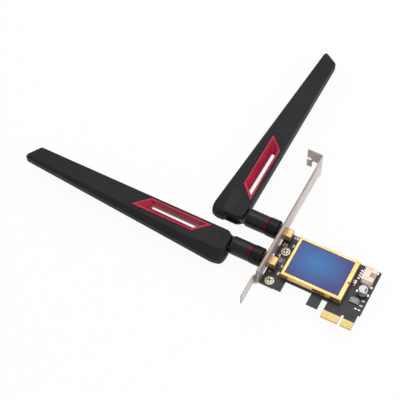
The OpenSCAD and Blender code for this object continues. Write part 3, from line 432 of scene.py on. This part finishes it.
# Plated lid of the crystal: smooth, nearly a mirror
platedLid = plainFinish("nickelPlatedLid", "b4b0a6", "d2cec4", 0.25, metallic=0.9, patchMm=1.2)


# Black solder mask over copper: satin, tracks stand up a little under it and read slightly paler
# The tracks are drawn coarser than the real 0.2 mm ones, or they would not show
# Below "bareTop" there is no mask: honey-coloured laminate shows between the fingers
mask = {"trackPitch": 2.4, "trackLength": 7.44, "trackWidth": 0.11, "trackRise": 0.03, "bareTop": 5.3,
        "bareFrom": -13.2}


def solderMask():
    material, tree, shader, spots = newMaterial("blackSolderMask", "2b292d", 0.34, ior=1.5, shine=0.3)
    tracks = addNode(tree, "ShaderNodeTexBrick", {"offset": 0.37, "offset_frequency": 2, "squash": 1.6},
                     Vector=spots, Scale=1.0, Bias=0.0, Color1=linearColor("29272b"), Color2=linearColor("302e33"),
                     Mortar=linearColor("3d3b41"),
                     **{"Mortar Size": mask["trackWidth"] * mm, "Mortar Smooth": 0.5,
                        "Brick Width": mask["trackLength"] * mm, "Row Height": mask["trackPitch"] * mm})
    axes = addNode(tree, "ShaderNodeSeparateXYZ", Vector=spots)
    low = addNode(tree, "ShaderNodeMath", {"operation": "LESS_THAN"}, _0=axes.outputs["Y"],
                  _1=mask["bareTop"] * mm)
    along = addNode(tree, "ShaderNodeMath", {"operation": "GREATER_THAN"}, _0=axes.outputs["X"],
                    _1=mask["bareFrom"] * mm)
    both = addNode(tree, "ShaderNodeMath", {"operation": "MULTIPLY"}, _0=low.outputs["Value"],
                   _1=along.outputs["Value"])
    blend = addNode(tree, "ShaderNodeMix", {"data_type": "RGBA"}, _0=both.outputs["Value"],
                    _6=tracks.outputs["Color"], _7=linearColor("d0b976"))
    tree.links.new(blend.outputs[2], shader.inputs["Base Color"])
    bump = addNode(tree, "ShaderNodeBump", Height=tracks.outputs["Fac"], Distance=mask["trackRise"] * mm)
    tree.links.new(bump.outputs["Normal"], shader.inputs["Normal"])
    wander(tree, shader, spots, 0.28, 0.42, 3)
    return material


maskBlack = solderMask()

# Plain printed film: blue, with a soft lighter glow round its middle and a violet cast in the corners
glowShape = {"middle": (29.0, 31.6), "scale": (43, 58), "cloudScale": 90.0, "cloudShare": 0.16}


def labelFilm():
    material, tree, shader, spots = newMaterial("printedBlueFilm", "3f73b0", 0.34, ior=1.5, shine=0.15)
    middle = place(*glowShape["middle"], 0)
    scaleX, scaleY = glowShape["scale"]
    laid = addNode(tree, "ShaderNodeMapping", Vector=spots, Location=(-middle.x * scaleX, -middle.y * scaleY, 0),
                   Scale=(scaleX, scaleY, 0))
    glow = addNode(tree, "ShaderNodeTexGradient", {"gradient_type": "SPHERICAL"}, Vector=laid.outputs["Vector"])
    cloud = addNode(tree, "ShaderNodeTexNoise", Vector=spots, Scale=glowShape["cloudScale"], Detail=3.0)
    mixed = addNode(tree, "ShaderNodeMath", {"operation": "MULTIPLY_ADD"}, _0=cloud.outputs["Fac"],
                    _1=glowShape["cloudShare"], _2=glow.outputs["Fac"])
    shadeRamp(tree, shader, mixed.outputs["Value"], "4a4c86", "4478b4", 0.05, 0.95)
    wander(tree, shader, spots, 0.24, 0.34, 6)
    return material


blueFilm = labelFilm()
# Dark sheet under the film: painted shade, a thin shadow line round the film
filmShadeSheet = plainFinish("darkAdhesiveLiner", "3a3033", "4a3e40", 0.6, patchMm=1)
# White ink of the board's component outlines: matt, a little uneven
whiteInk = plainFinish("whiteLegendInk", "b5b5b1", "d6d6d2", 0.6, patchMm=0.6)
print("materials made")

# Antenna blade, in its own frame: x along it from the hinge, y to its tapering edge, z through its thickness
# The corners are steps (x, y) from the end of the straight edge, from the tip, or from the root's end
blade = {
    "length": 148.4, "tipSlant": 5.6, "edge": 6.15, "taperRoot": 17.2, "taperTip": 5.3,
    "rootReach": 8.5, "rootClear": 6.5, "rootHalf": 5.5, "tipHalf": 4.0, "rimHalf": 2.35, "seamHalf": 0.04,
    "earRadius": 7.1, "faceRadius": 6.0, "faceInset": 0.4, "cornerRadius": 17.22,
    "cornerTurns": (96, 102, 108, 113), "cornerGap": 0.03,
    "straightRim": ((-2.0, 0), (-1.0, 0.18), (-0.35, 0.65)),
    "straightFace": ((-2.3, 0), (-1.5, 0.15), (-0.95, 0.6)),
    "tipRim": ((-0.75, 3.0), (-0.35, 4.2), (-0.75, 4.95)), "tipFace": ((-1.6, 2.7), (-1.35, 3.5), (-1.75, 4.1)),
    "rootRim": ((0.4, 13.5), (0, 11.0)), "faceStart": (-5.9, 7.4),
    "rootFace": ((0, 9.75), (-1.6, 9.6), (-2.6, 9.5), (-3.5, 9.3), (-4.2, 9.1), (-5.0, 8.75), (-5.6, 8.4),
                 (-5.9, 8.0)),
    "bendAt": 20.0, "bendBevel": 4.7, "tipBend": 2.0, "tipFaceBend": 2.9, "tipBevel": 0.85,
    "window": ((9.15, -4.35), (54.85, -4.35), (64.88, 5.85), (19.17, 5.85)),
    "forkHalf": 2.6, "forkRadius": 5.3, "forkEnd": -22, "forkFoot": -14.0, "pinRadius": 1.52,
    "softEdge": 0.5, "seamShare": 0.3, "flatTurn": 14,
}
hinge = {"x": -33.55, "folds": (90, 0.4)}


def taperAt(x):
    return blade["taperRoot"] - (blade["taperRoot"] - blade["taperTip"]) * x / blade["length"]


def faceAt(x):
    return blade["rootHalf"] - (blade["rootHalf"] - blade["tipHalf"]) * x / blade["length"]


# Full softness outside, less at the seam and round the pin, none where the faces run on nearly flat
def bladeEase(first, last, turn):
    middle = (first + last) / 2
    onSeam = max(first.z, last.z) < 0.3 * mm
    nearPin = math.hypot(middle.x, middle.y) < 2 * mm
    return 0.0 if turn < blade["flatTurn"] else blade["seamShare"] if onSeam or nearPin else 1.0


def bladeHalf():
    length, edge, ear, corner = blade["length"], blade["edge"], blade["earRadius"], blade["cornerRadius"]
    reach, clear, bend = blade["rootReach"], blade["rootClear"], blade["bendAt"]
    straightEnd, tipBend = length - blade["tipSlant"], length - blade["tipBend"]
    tipFaceBend, faceEdge = length - blade["tipFaceBend"], -edge + blade["faceInset"]
    rimEnd = math.degrees(math.asin(edge / ear))
    faceEnd = math.degrees(math.asin((edge - blade["faceInset"]) / blade["faceRadius"]))
    rim = [(-ear, clear)] + pointsAt(-ear, evenly(0, rimEnd, 10)) + [
        (straightEnd + x, -edge + y) for x, y in blade["straightRim"]] + [
        (length + x, y) for x, y in blade["tipRim"]] + [
        (tipBend, taperAt(tipBend)), (bend, taperAt(bend)), (0, corner - blade["cornerGap"])] + pointsAt(
        corner, blade["cornerTurns"]) + [(x - reach, y) for x, y in blade["rootRim"]] + [(-reach, clear)]
    face = [blade["faceStart"]] + pointsAt(-blade["faceRadius"], evenly(10, faceEnd, 10)) + [
        (straightEnd + x, faceEdge + y) for x, y in blade["straightFace"]] + [
        (length + x, y) for x, y in blade["tipFace"]] + [
        (tipFaceBend, taperAt(tipFaceBend) - blade["tipBevel"]), (bend, taperAt(bend) - blade["bendBevel"])] + list(
        blade["rootFace"])
    half = loft("bladeHalf", [
        [(x, y, blade["seamHalf"]) for x, y in rim],
        [(x, y, blade["rimHalf"]) for x, y in rim],
        [(x, y, faceAt(x)) for x, y in face]])
    carve(half, prism("windowCutter", blade["window"], -1, 8))
    fork, forkEnd, forkFoot = blade["forkRadius"], blade["forkEnd"], blade["forkFoot"]
    slot = [(forkEnd, forkFoot), (fork, forkFoot)] + pointsAt(fork, range(0, 91, 9)) + [(forkEnd, fork)]
    carve(half, prism("forkCutter", slot, -1, blade["forkHalf"]))
    carve(half, prism("pinCutter", pointsAt(blade["pinRadius"], range(0, 360, 9)), -1, 8))
    tidyMesh(half)
    easeByWeight(half, blade["softEdge"], bladeEase)
    return half


# Red insert in the blade's frame: outline, then corners of its funnels at the throat and at either lip
insertShape = {
    "outline": ((9.2, -4.3), (54.8, -4.3), (64.8, 5.8), (19.2, 5.8)), "halfAtHinge": 5.8,
    "throat": ((14.2, -2.6), (52.6, -2.6), (53.6, 0.9), (18.0, 1.3)), "throatHalf": 1.3,
    "frontLip": ((13.4, -2.8), (54.6, -2.8), (62.0, 4.6), (20.7, 4.6)),
    "backLip": ((12.4, -3.8), (53.8, -3.8), (62.0, 4.6), (20.7, 4.6)),
    "lipHalf": 5.3, "through": 6.6, "softLip": 0.28,
}


def funnelInsert(name):
    throat, half, through = insertShape["throat"], insertShape["throatHalf"], insertShape["through"]
    fall = (blade["rootHalf"] - blade["tipHalf"]) / blade["length"]
    insert = loft(name, [[(x, y, side * (insertShape["halfAtHinge"] - x * fall)) for x, y in insertShape["outline"]]
                         for side in (-1, 1)])
    reach = (through - half) / (insertShape["lipHalf"] - half)
    back, front = [[(x + (lipX - x) * reach, y + (lipY - y) * reach)
                    for (x, y), (lipX, lipY) in zip(throat, insertShape[lip])] for lip in ("backLip", "frontLip")]
    rings = ((back, -through), (throat, -half), (throat, half), (front, through))
    carve(insert, loft("funnels", [[(x, y, z) for x, y in ring] for ring, z in rings]))
    easeEdges(insert, insertShape["softLip"], 3)
    return insert


half = bladeHalf()
for number, fold, jackY in zip((1, 2), hinge["folds"], card["jackY"]):
    body = f"blade_{number}"
    swing = Matrix.Translation(place(hinge["x"], jackY, card["jackZ"])) @ Matrix.Rotation(
        math.radians(180 - fold), 4, "Z")
    front = copied(half, f"bladeFront{number}", swing)
    fitOut(front, body, texturedAbs, [f"blade_front_{number}"])
    back = copied(half, f"bladeBack{number}", swing, mirrored=True)
    fitOut(back, body, texturedAbs, [f"blade_back_{number}"])
    insert = moved(funnelInsert(f"funnelInsert{number}"), swing)
    fitOut(insert, body, redAbs, [f"blade_insert_{number}"])
bpy.data.objects.remove(half)
print("blades made")

# Knuckle, ring and collar: distances are out from the bracket's inner face; collar and ring are near end, far
# end, outer radius and bore
knuckle = {
    "collar": (3.4, 10.7, 6.45, 4.52), "ring": (10.9, 14.0, 6.3, 5.02), "groove": 3.55,
    "beadSet": 0.35, "beadWidth": 0.6, "beadHeight": 0.24, "beadSlope": 0.12,
    "barrelEnd": 26.15, "barrelRadius": 6.2, "ringSeat": 5.0, "neckEnd": 15.1, "neckBore": 2.52, "coaxBore": 0.92,
    "tongueHalf": 2.5, "tongueRadius": 5.0, "tongueRoot": 2.0, "boreRadius": 1.55, "steps": 96,
}


def outwards(profile):
    return [(-along, radius) for along, radius in profile]


def collarForm():
    near, far, outer, bore = knuckle["collar"]
    groove = near + knuckle["groove"]
    return turned("collarForm", outwards([
        (near, bore), (near, outer - 0.95), (near + 0.12, outer - 0.55), (near + 0.42, outer - 0.2),
        (near + 0.9, outer), (groove - 0.15, outer), (groove, outer - 0.12), (groove + 0.15, outer),
        (far - 0.55, outer), (far - 0.2, outer - 0.12), (far, outer - 0.42), (far, bore)]), knuckle["steps"])


def ringForm():
    near, far, outer, bore = knuckle["ring"]
    start, slope, sunk = knuckle["beadSet"], knuckle["beadSlope"], outer - knuckle["beadHeight"]
    end = start + knuckle["beadWidth"]
    return turned("ringForm", outwards([
        (near, bore), (near, sunk), (near + start, sunk), (near + start + slope, outer),
        (near + end - slope, outer), (near + end, sunk), (far - end, sunk), (far - end + slope, outer),
        (far - start - slope, outer), (far - start, sunk), (far, sunk), (far, bore)]), knuckle["steps"])


def barrelForm():
    ringNear, ringFar = knuckle["ring"][:2]
    end, outer, seat = knuckle["barrelEnd"], knuckle["barrelRadius"], knuckle["ringSeat"]
    neckEnd, neckBore, coaxBore = knuckle["neckEnd"], knuckle["neckBore"], knuckle["coaxBore"]
    form = turned("barrelForm", outwards([
        (ringNear, neckBore), (ringNear, seat), (ringFar, seat), (ringFar, outer - 0.3),
        (ringFar + 0.1, outer - 0.1), (ringFar + 0.35, outer), (end - 1.0, outer), (end - 0.55, outer - 0.12),
        (end - 0.2, outer - 0.38), (end, outer - 0.8), (end, coaxBore), (neckEnd, coaxBore),
        (neckEnd, neckBore)]), knuckle["steps"])
    radius, middle, root = knuckle["tongueRadius"], (hinge["x"], 0), knuckle["tongueRoot"] - end
    outline = [(root, radius), (root, -radius)] + pointsAt(radius, range(270, 89, -6), middle)
    tongue = prism("tongue", outline, -knuckle["tongueHalf"], knuckle["tongueHalf"])
    carve(tongue, prism("tongueBore", pointsAt(knuckle["boreRadius"], range(0, 360, 9), middle), -4, 4))
    easeEdges(tongue, 0.25, 2, 40)
    join(form, tongue)
    return form


collarPiece, ringPiece, barrelPiece = collarForm(), ringForm(), barrelForm()
for number, jackY in zip((1, 2), card["jackY"]):
    slide, body = Matrix.Translation(place(0, jackY, card["jackZ"])), f"barrel_{number}"
    collar = copied(collarPiece, f"collar{number}", slide)
    fitOut(collar, f"collar_{number}", deepAbs, [f"collar_{number}"])
    ring = copied(ringPiece, f"accentRing{number}", slide)
    fitOut(ring, body, redAnodised, [f"accent_ring_{number}"])
    ring.data.materials.append(darkAnodised)
    near, far = knuckle["ring"][:2]
    for polygon in ring.data.polygons:
        along = -(polygon.center - place(0, 0, 0)).x / mm
        fromEdge = min(along - near, far - along)
        polygon.material_index = int(not 0 < fromEdge - knuckle["beadSet"] < knuckle["beadWidth"])
    barrel = copied(barrelPiece, f"barrel{number}", slide)
    fitOut(barrel, body, smoothAbs, [f"barrel_{number}"])
for piece in (collarPiece, ringPiece, barrelPiece):
    bpy.data.objects.remove(piece)
print("knuckles made")

# Bracket, nuts, washers and jacks keep their CAD shapes with their edges eased; the screws are made anew
sheet = fitOut(easedNode("bracket", "bracketSheet", 0.14), "card", nickelSteel, ["bracket"])
sheet.data.materials.append(litNickelSteel)
# Painted light: faces turned to +X take the paler copy of the steel
for polygon in sheet.data.polygons:
    polygon.material_index = int(polygon.normal.x > 0.9)

screw = {
    "x": 6.7, "y": (8.1, 32.4), "radius": 3.1, "height": 2.0, "shank": 1.45, "length": 3.0, "dome": 2.45,
    "recessSpan": 3.1, "recessWidth": 0.75, "recessDepth": 0.8, "turn": 20, "steps": 48,
}


def screwForm():
    r, h, dome, shank, length = (screw[key] for key in ("radius", "height", "dome", "shank", "length"))
    form = turned("screwForm", [
        (-length, 0), (-length, shank - 0.3), (0.3 - length, shank), (0, shank), (0, r - 0.12), (0.1, r),
        (h * 0.3, r), (h * 0.38, r - 0.12), (h * 0.4, dome), (h * 0.66, dome - 0.06), (h * 0.84, dome - 0.3),
        (h * 0.95, dome - 0.75), (h, r * 0.36), (h, 0)], screw["steps"])
    moved(form, Matrix.Rotation(math.radians(-90), 4, "Y"))
    halfSpan, halfWidth = screw["recessSpan"] / 2, screw["recessWidth"] / 2
    for angle in (0, 90):
        arm = boxAt("arm", (-halfSpan, -halfWidth, h - screw["recessDepth"]), (halfSpan, halfWidth, h + 1))
        carve(form, moved(arm, Matrix.Rotation(math.radians(angle + screw["turn"]), 4, "Z")))
    easeEdges(form, 0.1, 2, 50)
    return form


screwPiece = screwForm()
for count, y in enumerate(screw["y"]):
    piece = copied(screwPiece, f"bracketScrew{count}", Matrix.Translation(place(screw["x"], y, 0)))
    fitOut(piece, "card", zincSteel, ["bracket_screws"])
    piece.data.materials.append(recessShade)
    # Painted shade: the cross recess and the dome's lower side take the dark copy of the zinc
    for polygon in piece.data.polygons:
        spot = polygon.center / mm - place(screw["x"], y, 0) / mm
        fromAxis = math.hypot(spot.x, spot.y)
        inRecess = 0 < spot.z < screw["height"] - 0.3 and fromAxis < screw["dome"] - 0.35
        underDome = 0.4 < spot.z / screw["height"] < 0.66 and fromAxis < screw["dome"]
        polygon.material_index = int(inRecess or underDome)
bpy.data.objects.remove(screwPiece)
easeAndFit("jack_nuts", 0.1, 2, shadedBrass)
easeAndFit("lock_washers", 0.05, 1, shadedBrass)


# Only the long square edges of the jack's block, so that its bore, thread and legs stay as they are
def blockEase(first, last, turn):
    return float((first - last).length > 6 * mm and turn > 80)


for number in (1, 2):
    jack = nodeCopy(f"jack_body_{number}", f"jackBody{number}")
    easeByWeight(jack, 0.3, blockEase)
    fitOut(jack, "card", goldBrass, [f"jack_body_{number}"])
print("bracket and jacks made")

# Radio shield: pressed cover with its panel, bead, hole and windows, each window as start, span, foot and rise
# The panel's edges are its margins at the near end, low side, far end and high side
shield = {
    "x": 11.4, "y": 13.6, "length": 42.9, "width": 31.5, "height": 5.0, "sheet": 0.3, "corner": 0.6,
    "panel": (2.0, 2.1, 3.0, 1.7), "panelDepth": 0.35, "panelCorner": 0.3, "skirtFoot": 0.7,
    "windows": ((0.5, 5.0, 2.9, 1.35), (22.6, 8.7, 2.1, 2.0), (34.9, 7.0, 2.2, 1.9)),
    "holeSet": 0.95, "holeShare": 0.445, "holeRadius": 0.7,
    "beadSet": 1.9, "beadWidth": 0.5, "beadDepth": 0.3, "beadMargin": 1.0,
}


def inShield(x, y, z):
    corner = place(shield["x"] + x, shield["y"] + y, z) / mm
    return (corner.x, corner.y, corner.z)


# A box inside the panel's margins, drawn in by an inset
def panelBox(name, inset, low, high):
    nearEnd, lowSide, farEnd, highSide = shield["panel"]
    return boxAt(name, inShield(nearEnd + inset, lowSide + inset, low),
                 inShield(shield["length"] - farEnd - inset, shield["width"] - highSide - inset, high))


def carveWindows(piece):
    for start, span, foot, rise in shield["windows"]:
        carve(piece, boxAt("window", inShield(start, -1, foot),
                           inShield(start + span, shield["width"] + 1, foot + rise)))


def shieldCover():
    length, width, height, sheet = shield["length"], shield["width"], shield["height"], shield["sheet"]
    panelTop = height - shield["panelDepth"]
    cover = boxAt("shieldCover", inShield(0, 0, shield["skirtFoot"]), inShield(length, width, height))
    easeEdges(cover, shield["corner"], 4, 60)
    carve(cover, boxAt("hollow", inShield(sheet, sheet, -1),
                       inShield(length - sheet, width - sheet, panelTop - sheet)))
    panel = panelBox("panel", 0, panelTop, height + 3)
    easeEdges(panel, shield["panelCorner"], 3, 60)
    carve(cover, panel)
    beadMiddle, beadHalf, margin = length - shield["beadSet"], shield["beadWidth"] / 2, shield["beadMargin"]
    carve(cover, boxAt("bead", inShield(beadMiddle - beadHalf, margin, height - shield["beadDepth"]),
                       inShield(beadMiddle + beadHalf, width - margin, height + 1)))
    carveWindows(cover)
    centre = inShield(length - shield["holeSet"], width * shield["holeShare"], 0)
    carve(cover, prism("hole", pointsAt(shield["holeRadius"], range(0, 360, 15), centre), -1, 8))
    tidyMesh(cover)
    return cover


fitOut(shieldCover(), "card", shieldSheet, ["shield_cover"])
fence = easedNode("shield_fence", "shieldFence", 0.03, 1)
carveWindows(fence)
fitOut(fence, "card", fencePlate, ["shield_fence"])

# The label's film on a dark sheet of painted shade: insets from the panel's edge, and how far each stays under the
# cover's top
label = {"filmSet": 0.42, "filmSunk": 0.23, "linerSet": 0.12, "linerSunk": 0.3, "softEdge": 0.02}


def labelLayer(name, inset, sunk):
    layer = panelBox(name, inset, shield["height"] - shield["panelDepth"], shield["height"] - sunk)
    easeEdges(layer, label["softEdge"], 1, 60)
    return layer


film = labelLayer("labelFilm", label["filmSet"], label["filmSunk"])
fitOut(film, "card", blueFilm, ["shield_label"])
# Painted shade: a dark sheet a little larger than the film, under it
shadeSheet = labelLayer("labelLiner", label["linerSet"], label["linerSunk"])
fitOut(shadeSheet, "card", filmShadeSheet)
print("shield made")

# Header, capacitor and the small parts
easeAndFit("header_housing", 0.14, 2, naturalNylon)
easeAndFit("header_contacts", 0.06, 1, tinPlate)
easeAndFit("header_tabs", 0.06, 1, tinPlate)
easeAndFit("capacitor_base", 0.15, 2, blackNylon)

# The mark is a printed segment on the can's top, the usual sign of its negative side
canShape = {
    "x": 63.6, "y": 27.5, "radius": 3.15, "base": 0.9, "neck": 1.8, "top": 5.8, "steps": 72,
    "topDish": 0.08, "markSet": 0.95, "markTurn": 58, "markHeight": 0.04,
}
canSpot = Matrix.Translation(place(canShape["x"], canShape["y"], 0))


def capacitorCan():
    r, low, neck, top = canShape["radius"], canShape["base"], canShape["neck"], canShape["top"]
    can = turned("capacitorCan", [
        (low, 0), (low, r - 0.3), (low + 0.1, r - 0.1), (low + 0.3, r), (neck - 0.3, r), (neck - 0.12, r - 0.16),
        (neck, r - 0.22), (neck + 0.12, r - 0.16), (neck + 0.3, r), (top - 0.55, r), (top - 0.22, r - 0.1),
        (top - 0.06, r - 0.3), (top, r - 0.6), (top - 0.05, r - 0.85), (top - canShape["topDish"], 0)],
        canShape["steps"])
    return moved(can, canSpot @ Matrix.Rotation(math.radians(-90), 4, "Y"))


def capacitorMark():
    turn, foot = canShape["markTurn"], canShape["top"] - canShape["topDish"]
    outline = pointsAt(canShape["radius"] - canShape["markSet"], range(-turn, turn + 1, 4))
    return moved(prism("capacitorMark", outline, foot, foot + canShape["markHeight"]), canSpot)


fitOut(capacitorCan(), "card", drawnAluminium, ["capacitor_can"])
fitOut(capacitorMark(), "card", blackNylon)
easeAndFit("power_inductor", 0.25, 2, greyFerrite)
easeAndFit("regulator_leads", 0.05, 2, tinPlate)
easeAndFit("regulator_chip", 0.14, 2, frostedEpoxy)

# Small parts at (x, y, turned): a body between two tinned ends, which stand a little prouder than it
smallParts = {
    "chip_resistors": {
        "spots": ((66.5, 22.2, 0), (66.6, 18.4, 0), (9.6, 38.6, 1), (9.4, 15.6, 1)),
        "size": (2.0, 1.2, 0.5), "endLength": 0.4, "body": glazedAlumina, "slot": "chip_body"},
    "chip_capacitors": {
        "spots": ((4.2, 37.2, 0), (8.6, 45.0, 0), (3.8, 14.4, 0), (10.0, 21.4, 0), (4.2, 28.2, 1),
                  (58.3, 45.6, 0), (56.5, 30.6, 1), (55.7, 33.0, 1)),
        "size": (1.6, 0.8, 0.8), "endLength": 0.35, "body": firedCeramic, "slot": "ceramic"},
}
endProud, endOverlap = 0.03, 0.02
for nodeName, kind in smallParts.items():
    length, width, height = kind["size"]
    inner = length / 2 - kind["endLength"]
    core = boxAt("core", (-inner, -width / 2 + endProud, 0), (inner, width / 2 - endProud, height - endProud))
    easeEdges(core, 0.04, 1, 60)
    ends = boxAt("ends", (inner - endOverlap, -width / 2, 0), (length / 2, width / 2, height))
    easeEdges(ends, 0.07, 2, 60)
    for count, (x, y, isTurned) in enumerate(kind["spots"]):
        lay = Matrix.Translation(place(x, y, 0)) @ Matrix.Rotation(math.radians(90 * isTurned), 4, "Z")
        name = nodeName.replace("_", "") + str(count)
        fitOut(copied(core, name + "Body", lay), "card", kind["body"], [nodeName])
        for side in (0, 1):
            flip = Matrix.Rotation(math.pi * side, 4, "Z")
            fitOut(copied(ends, f"{name}End{side}", lay @ flip), "card", tinPlate)
    bpy.data.objects.remove(core)
    bpy.data.objects.remove(ends)
print("small parts made")

# Solder on the pads, and the printed outlines: (x, y, width along x, width along y)
boardMarks = {
    "padHeight": 0.16, "padEdge": 0.12, "inkHeight": 0.03, "stroke": 0.3,
    "pads": (
        (57.0, 36.5, 2.0, 1.15), (57.0, 38.5, 2.0, 1.15), (57.0, 40.5, 2.0, 1.15), (57.0, 42.5, 2.0, 1.15),
        (66.4, 45.3, 1.9, 1.9), (66.9, 33.6, 1.9, 1.6), (59.9, 27.5, 1.6, 1.7), (67.3, 27.5, 1.6, 1.7),
        (55.9, 33.0, 2.0, 2.6), (10.0, 21.4, 2.4, 1.6), (8.7, 45.0, 2.4, 1.5), (9.4, 15.6, 1.5, 2.3),
        (4.2, 28.2, 1.4, 2.2), (9.3, 9.2, 1.0, 1.0), (64.2, 15.2, 1.6, 0.9), (66.6, 15.2, 1.6, 0.9)),
    "inkBoxes": ((6.9, 24.6, 4.4, 4.6), (8.7, 45.0, 3.2, 2.4), (4.2, 37.2, 3.0, 2.2)),
}


def boardPad(count, x, y, alongX, alongY):
    pad = boxAt(f"solderPad{count}", (-alongX / 2, -alongY / 2, 0),
                (alongX / 2, alongY / 2, boardMarks["padHeight"]))
    easeEdges(pad, boardMarks["padEdge"], 2, 60)
    fitOut(moved(pad, Matrix.Translation(place(x, y, 0))), "card", tinPlate)


def inkFrame(count, x, y, alongX, alongY):
    outline = boxAt(f"legendInk{count}", (-alongX / 2, -alongY / 2, 0),
                    (alongX / 2, alongY / 2, boardMarks["inkHeight"]))
    halfX, halfY = alongX / 2 - boardMarks["stroke"], alongY / 2 - boardMarks["stroke"]
    carve(outline, boxAt("inside", (-halfX, -halfY, -1), (halfX, halfY, 1)))
    fitOut(moved(outline, Matrix.Translation(place(x, y, 0))), "card", whiteInk)


for count, padSpot in enumerate(boardMarks["pads"]):
    boardPad(count, *padSpot)
for count, inkSpot in enumerate(boardMarks["inkBoxes"]):
    inkFrame(count, *inkSpot)
print("pads and outlines made")

# Solder side: a fillet round each jack leg and round its tail
joints = {"legX": (2.275, 5.375), "legPitch": 2.54, "tailX": 3.175, "height": 0.75, "radius": 1.0, "steps": 28}


def solderFillet():
    r, h = joints["radius"], joints["height"]
    fillet = turned("solderFillet", [
        (0, 0), (0, r), (0.08, r), (0.22, r * 0.86), (0.42, r * 0.68), (h - 0.1, r * 0.58), (h, r * 0.4), (h, 0)],
        joints["steps"])
    return moved(fillet, Matrix.Rotation(math.radians(90), 4, "Y"))


fillet = solderFillet()
filletSpots = [(joints["tailX"], 0)] + [(x, side * joints["legPitch"]) for x in joints["legX"] for side in (-1, 1)]
boardBack = -2 * card["boardHalf"]
for index, jackY in enumerate(card["jackY"]):
    for count, (x, y) in enumerate(filletSpots):
        under = Matrix.Translation(place(x, jackY + y, boardBack))
        fitOut(copied(fillet, f"solderFillet{index}{count}", under), "card", solder)
bpy.data.objects.remove(fillet)
print("solder made")

# The CAD shapes that stay as they are; a name without a number serves both antennas or jacks
cadFinishes = {
    "pcb": maskBlack, "edge_contacts": hardGold, "radio_chip": mouldedEpoxy, "front_end_chips": mouldedEpoxy,
    "crystal": platedLid, "capacitor_terminals": tinPlate, "jack_insulator": whiteFluoropolymer,
    "jack_pin": hardGold, "coupling_nut": turnedBrass, "plug_shell": turnedBrass,
    "plug_insulator": whiteFluoropolymer, "plug_contact": hardGold, "barrel_coax": brownFluoropolymer,
    "blade_coax": brownFluoropolymer, "radiator": greenLaminate, "hinge_pin": texturedAbs,
}
for nodeName, node in nodes.items():
    finish = cadFinishes.get(nodeName) or cadFinishes.get(nodeName[:-2])
    if finish:
        for materialSlot in node.material_slots:
            materialSlot.material = finish

# Floor, lamps and backdrop, in metres; a lamp is its place, the side of its square and its watts
stage = {
    "side": 6.0, "gap": 0.00005, "worldStrength": 0.62, "whiteShare": 0.94, "target": (-0.09, 0.05, 0.0),
    "lamps": {"keyLamp": ((-0.2, 0.5, 0.95), 0.8, 4.2), "fillLamp": ((0.6, -0.3, 0.7), 0.7, 2.2)},
}


# 1 for a ray that ends at the camera, directly or by the other way that is named
def seenBy(tree, otherRay):
    path = addNode(tree, "ShaderNodeLightPath")
    seen = addNode(tree, "ShaderNodeMath", {"operation": "MAXIMUM"}, _0=path.outputs["Is Camera Ray"],
                   _1=path.outputs[otherRay])
    return seen.outputs["Value"]


# Pale paint that lights the part as a real floor would, and shows to the camera as an even near-white
def floorPaint():
    material, tree, shader, spots = newMaterial("paleFloorPaint", "f6f6f6", 0.9, shine=0.0)
    glow = addNode(tree, "ShaderNodeEmission", Color=(1, 1, 1, 1), Strength=1.0)
    share = addNode(tree, "ShaderNodeMath", {"operation": "MULTIPLY"}, _0=seenBy(tree, "Is Glossy Ray"),
                    _1=stage["whiteShare"])
    blend = addNode(tree, "ShaderNodeMixShader", _0=share.outputs["Value"], _1=shader.outputs["BSDF"],
                    _2=glow.outputs["Emission"])
    tree.links.new(blend.outputs["Shader"], tree.nodes["Material Output"].inputs["Surface"])
    return material


clearSelection()
bpy.ops.mesh.primitive_plane_add(size=stage["side"], location=(0, 0, cadBox[0].z - stage["gap"]))
floor = bpy.context.object
floor.name = "floor"
floor.data.materials.append(floorPaint())

world = bpy.context.scene.world or bpy.data.worlds.new("world")
bpy.context.scene.world = world
world.use_nodes = True
tree = world.node_tree
sky = tree.nodes["Background"]
sky.inputs["Color"].default_value = (1, 1, 1, 1)
level = addNode(tree, "ShaderNodeMapRange", Value=seenBy(tree, "Is Transmission Ray"),
                **{"To Min": stage["worldStrength"], "To Max": 1.0})
tree.links.new(level.outputs["Result"], sky.inputs["Strength"])

for name, (spot, side, watts) in stage["lamps"].items():
    light = bpy.data.lights.new(name, "AREA")
    light.shape = "SQUARE"
    light.size = side
    light.energy = watts
    lamp = bpy.data.objects.new(name, light)
    bpy.context.scene.collection.objects.link(lamp)
    lamp.location = spot
    lamp.rotation_euler = (Vector(stage["target"]) - Vector(spot)).to_track_quat("-Z", "Y").to_euler()
print("stage set")
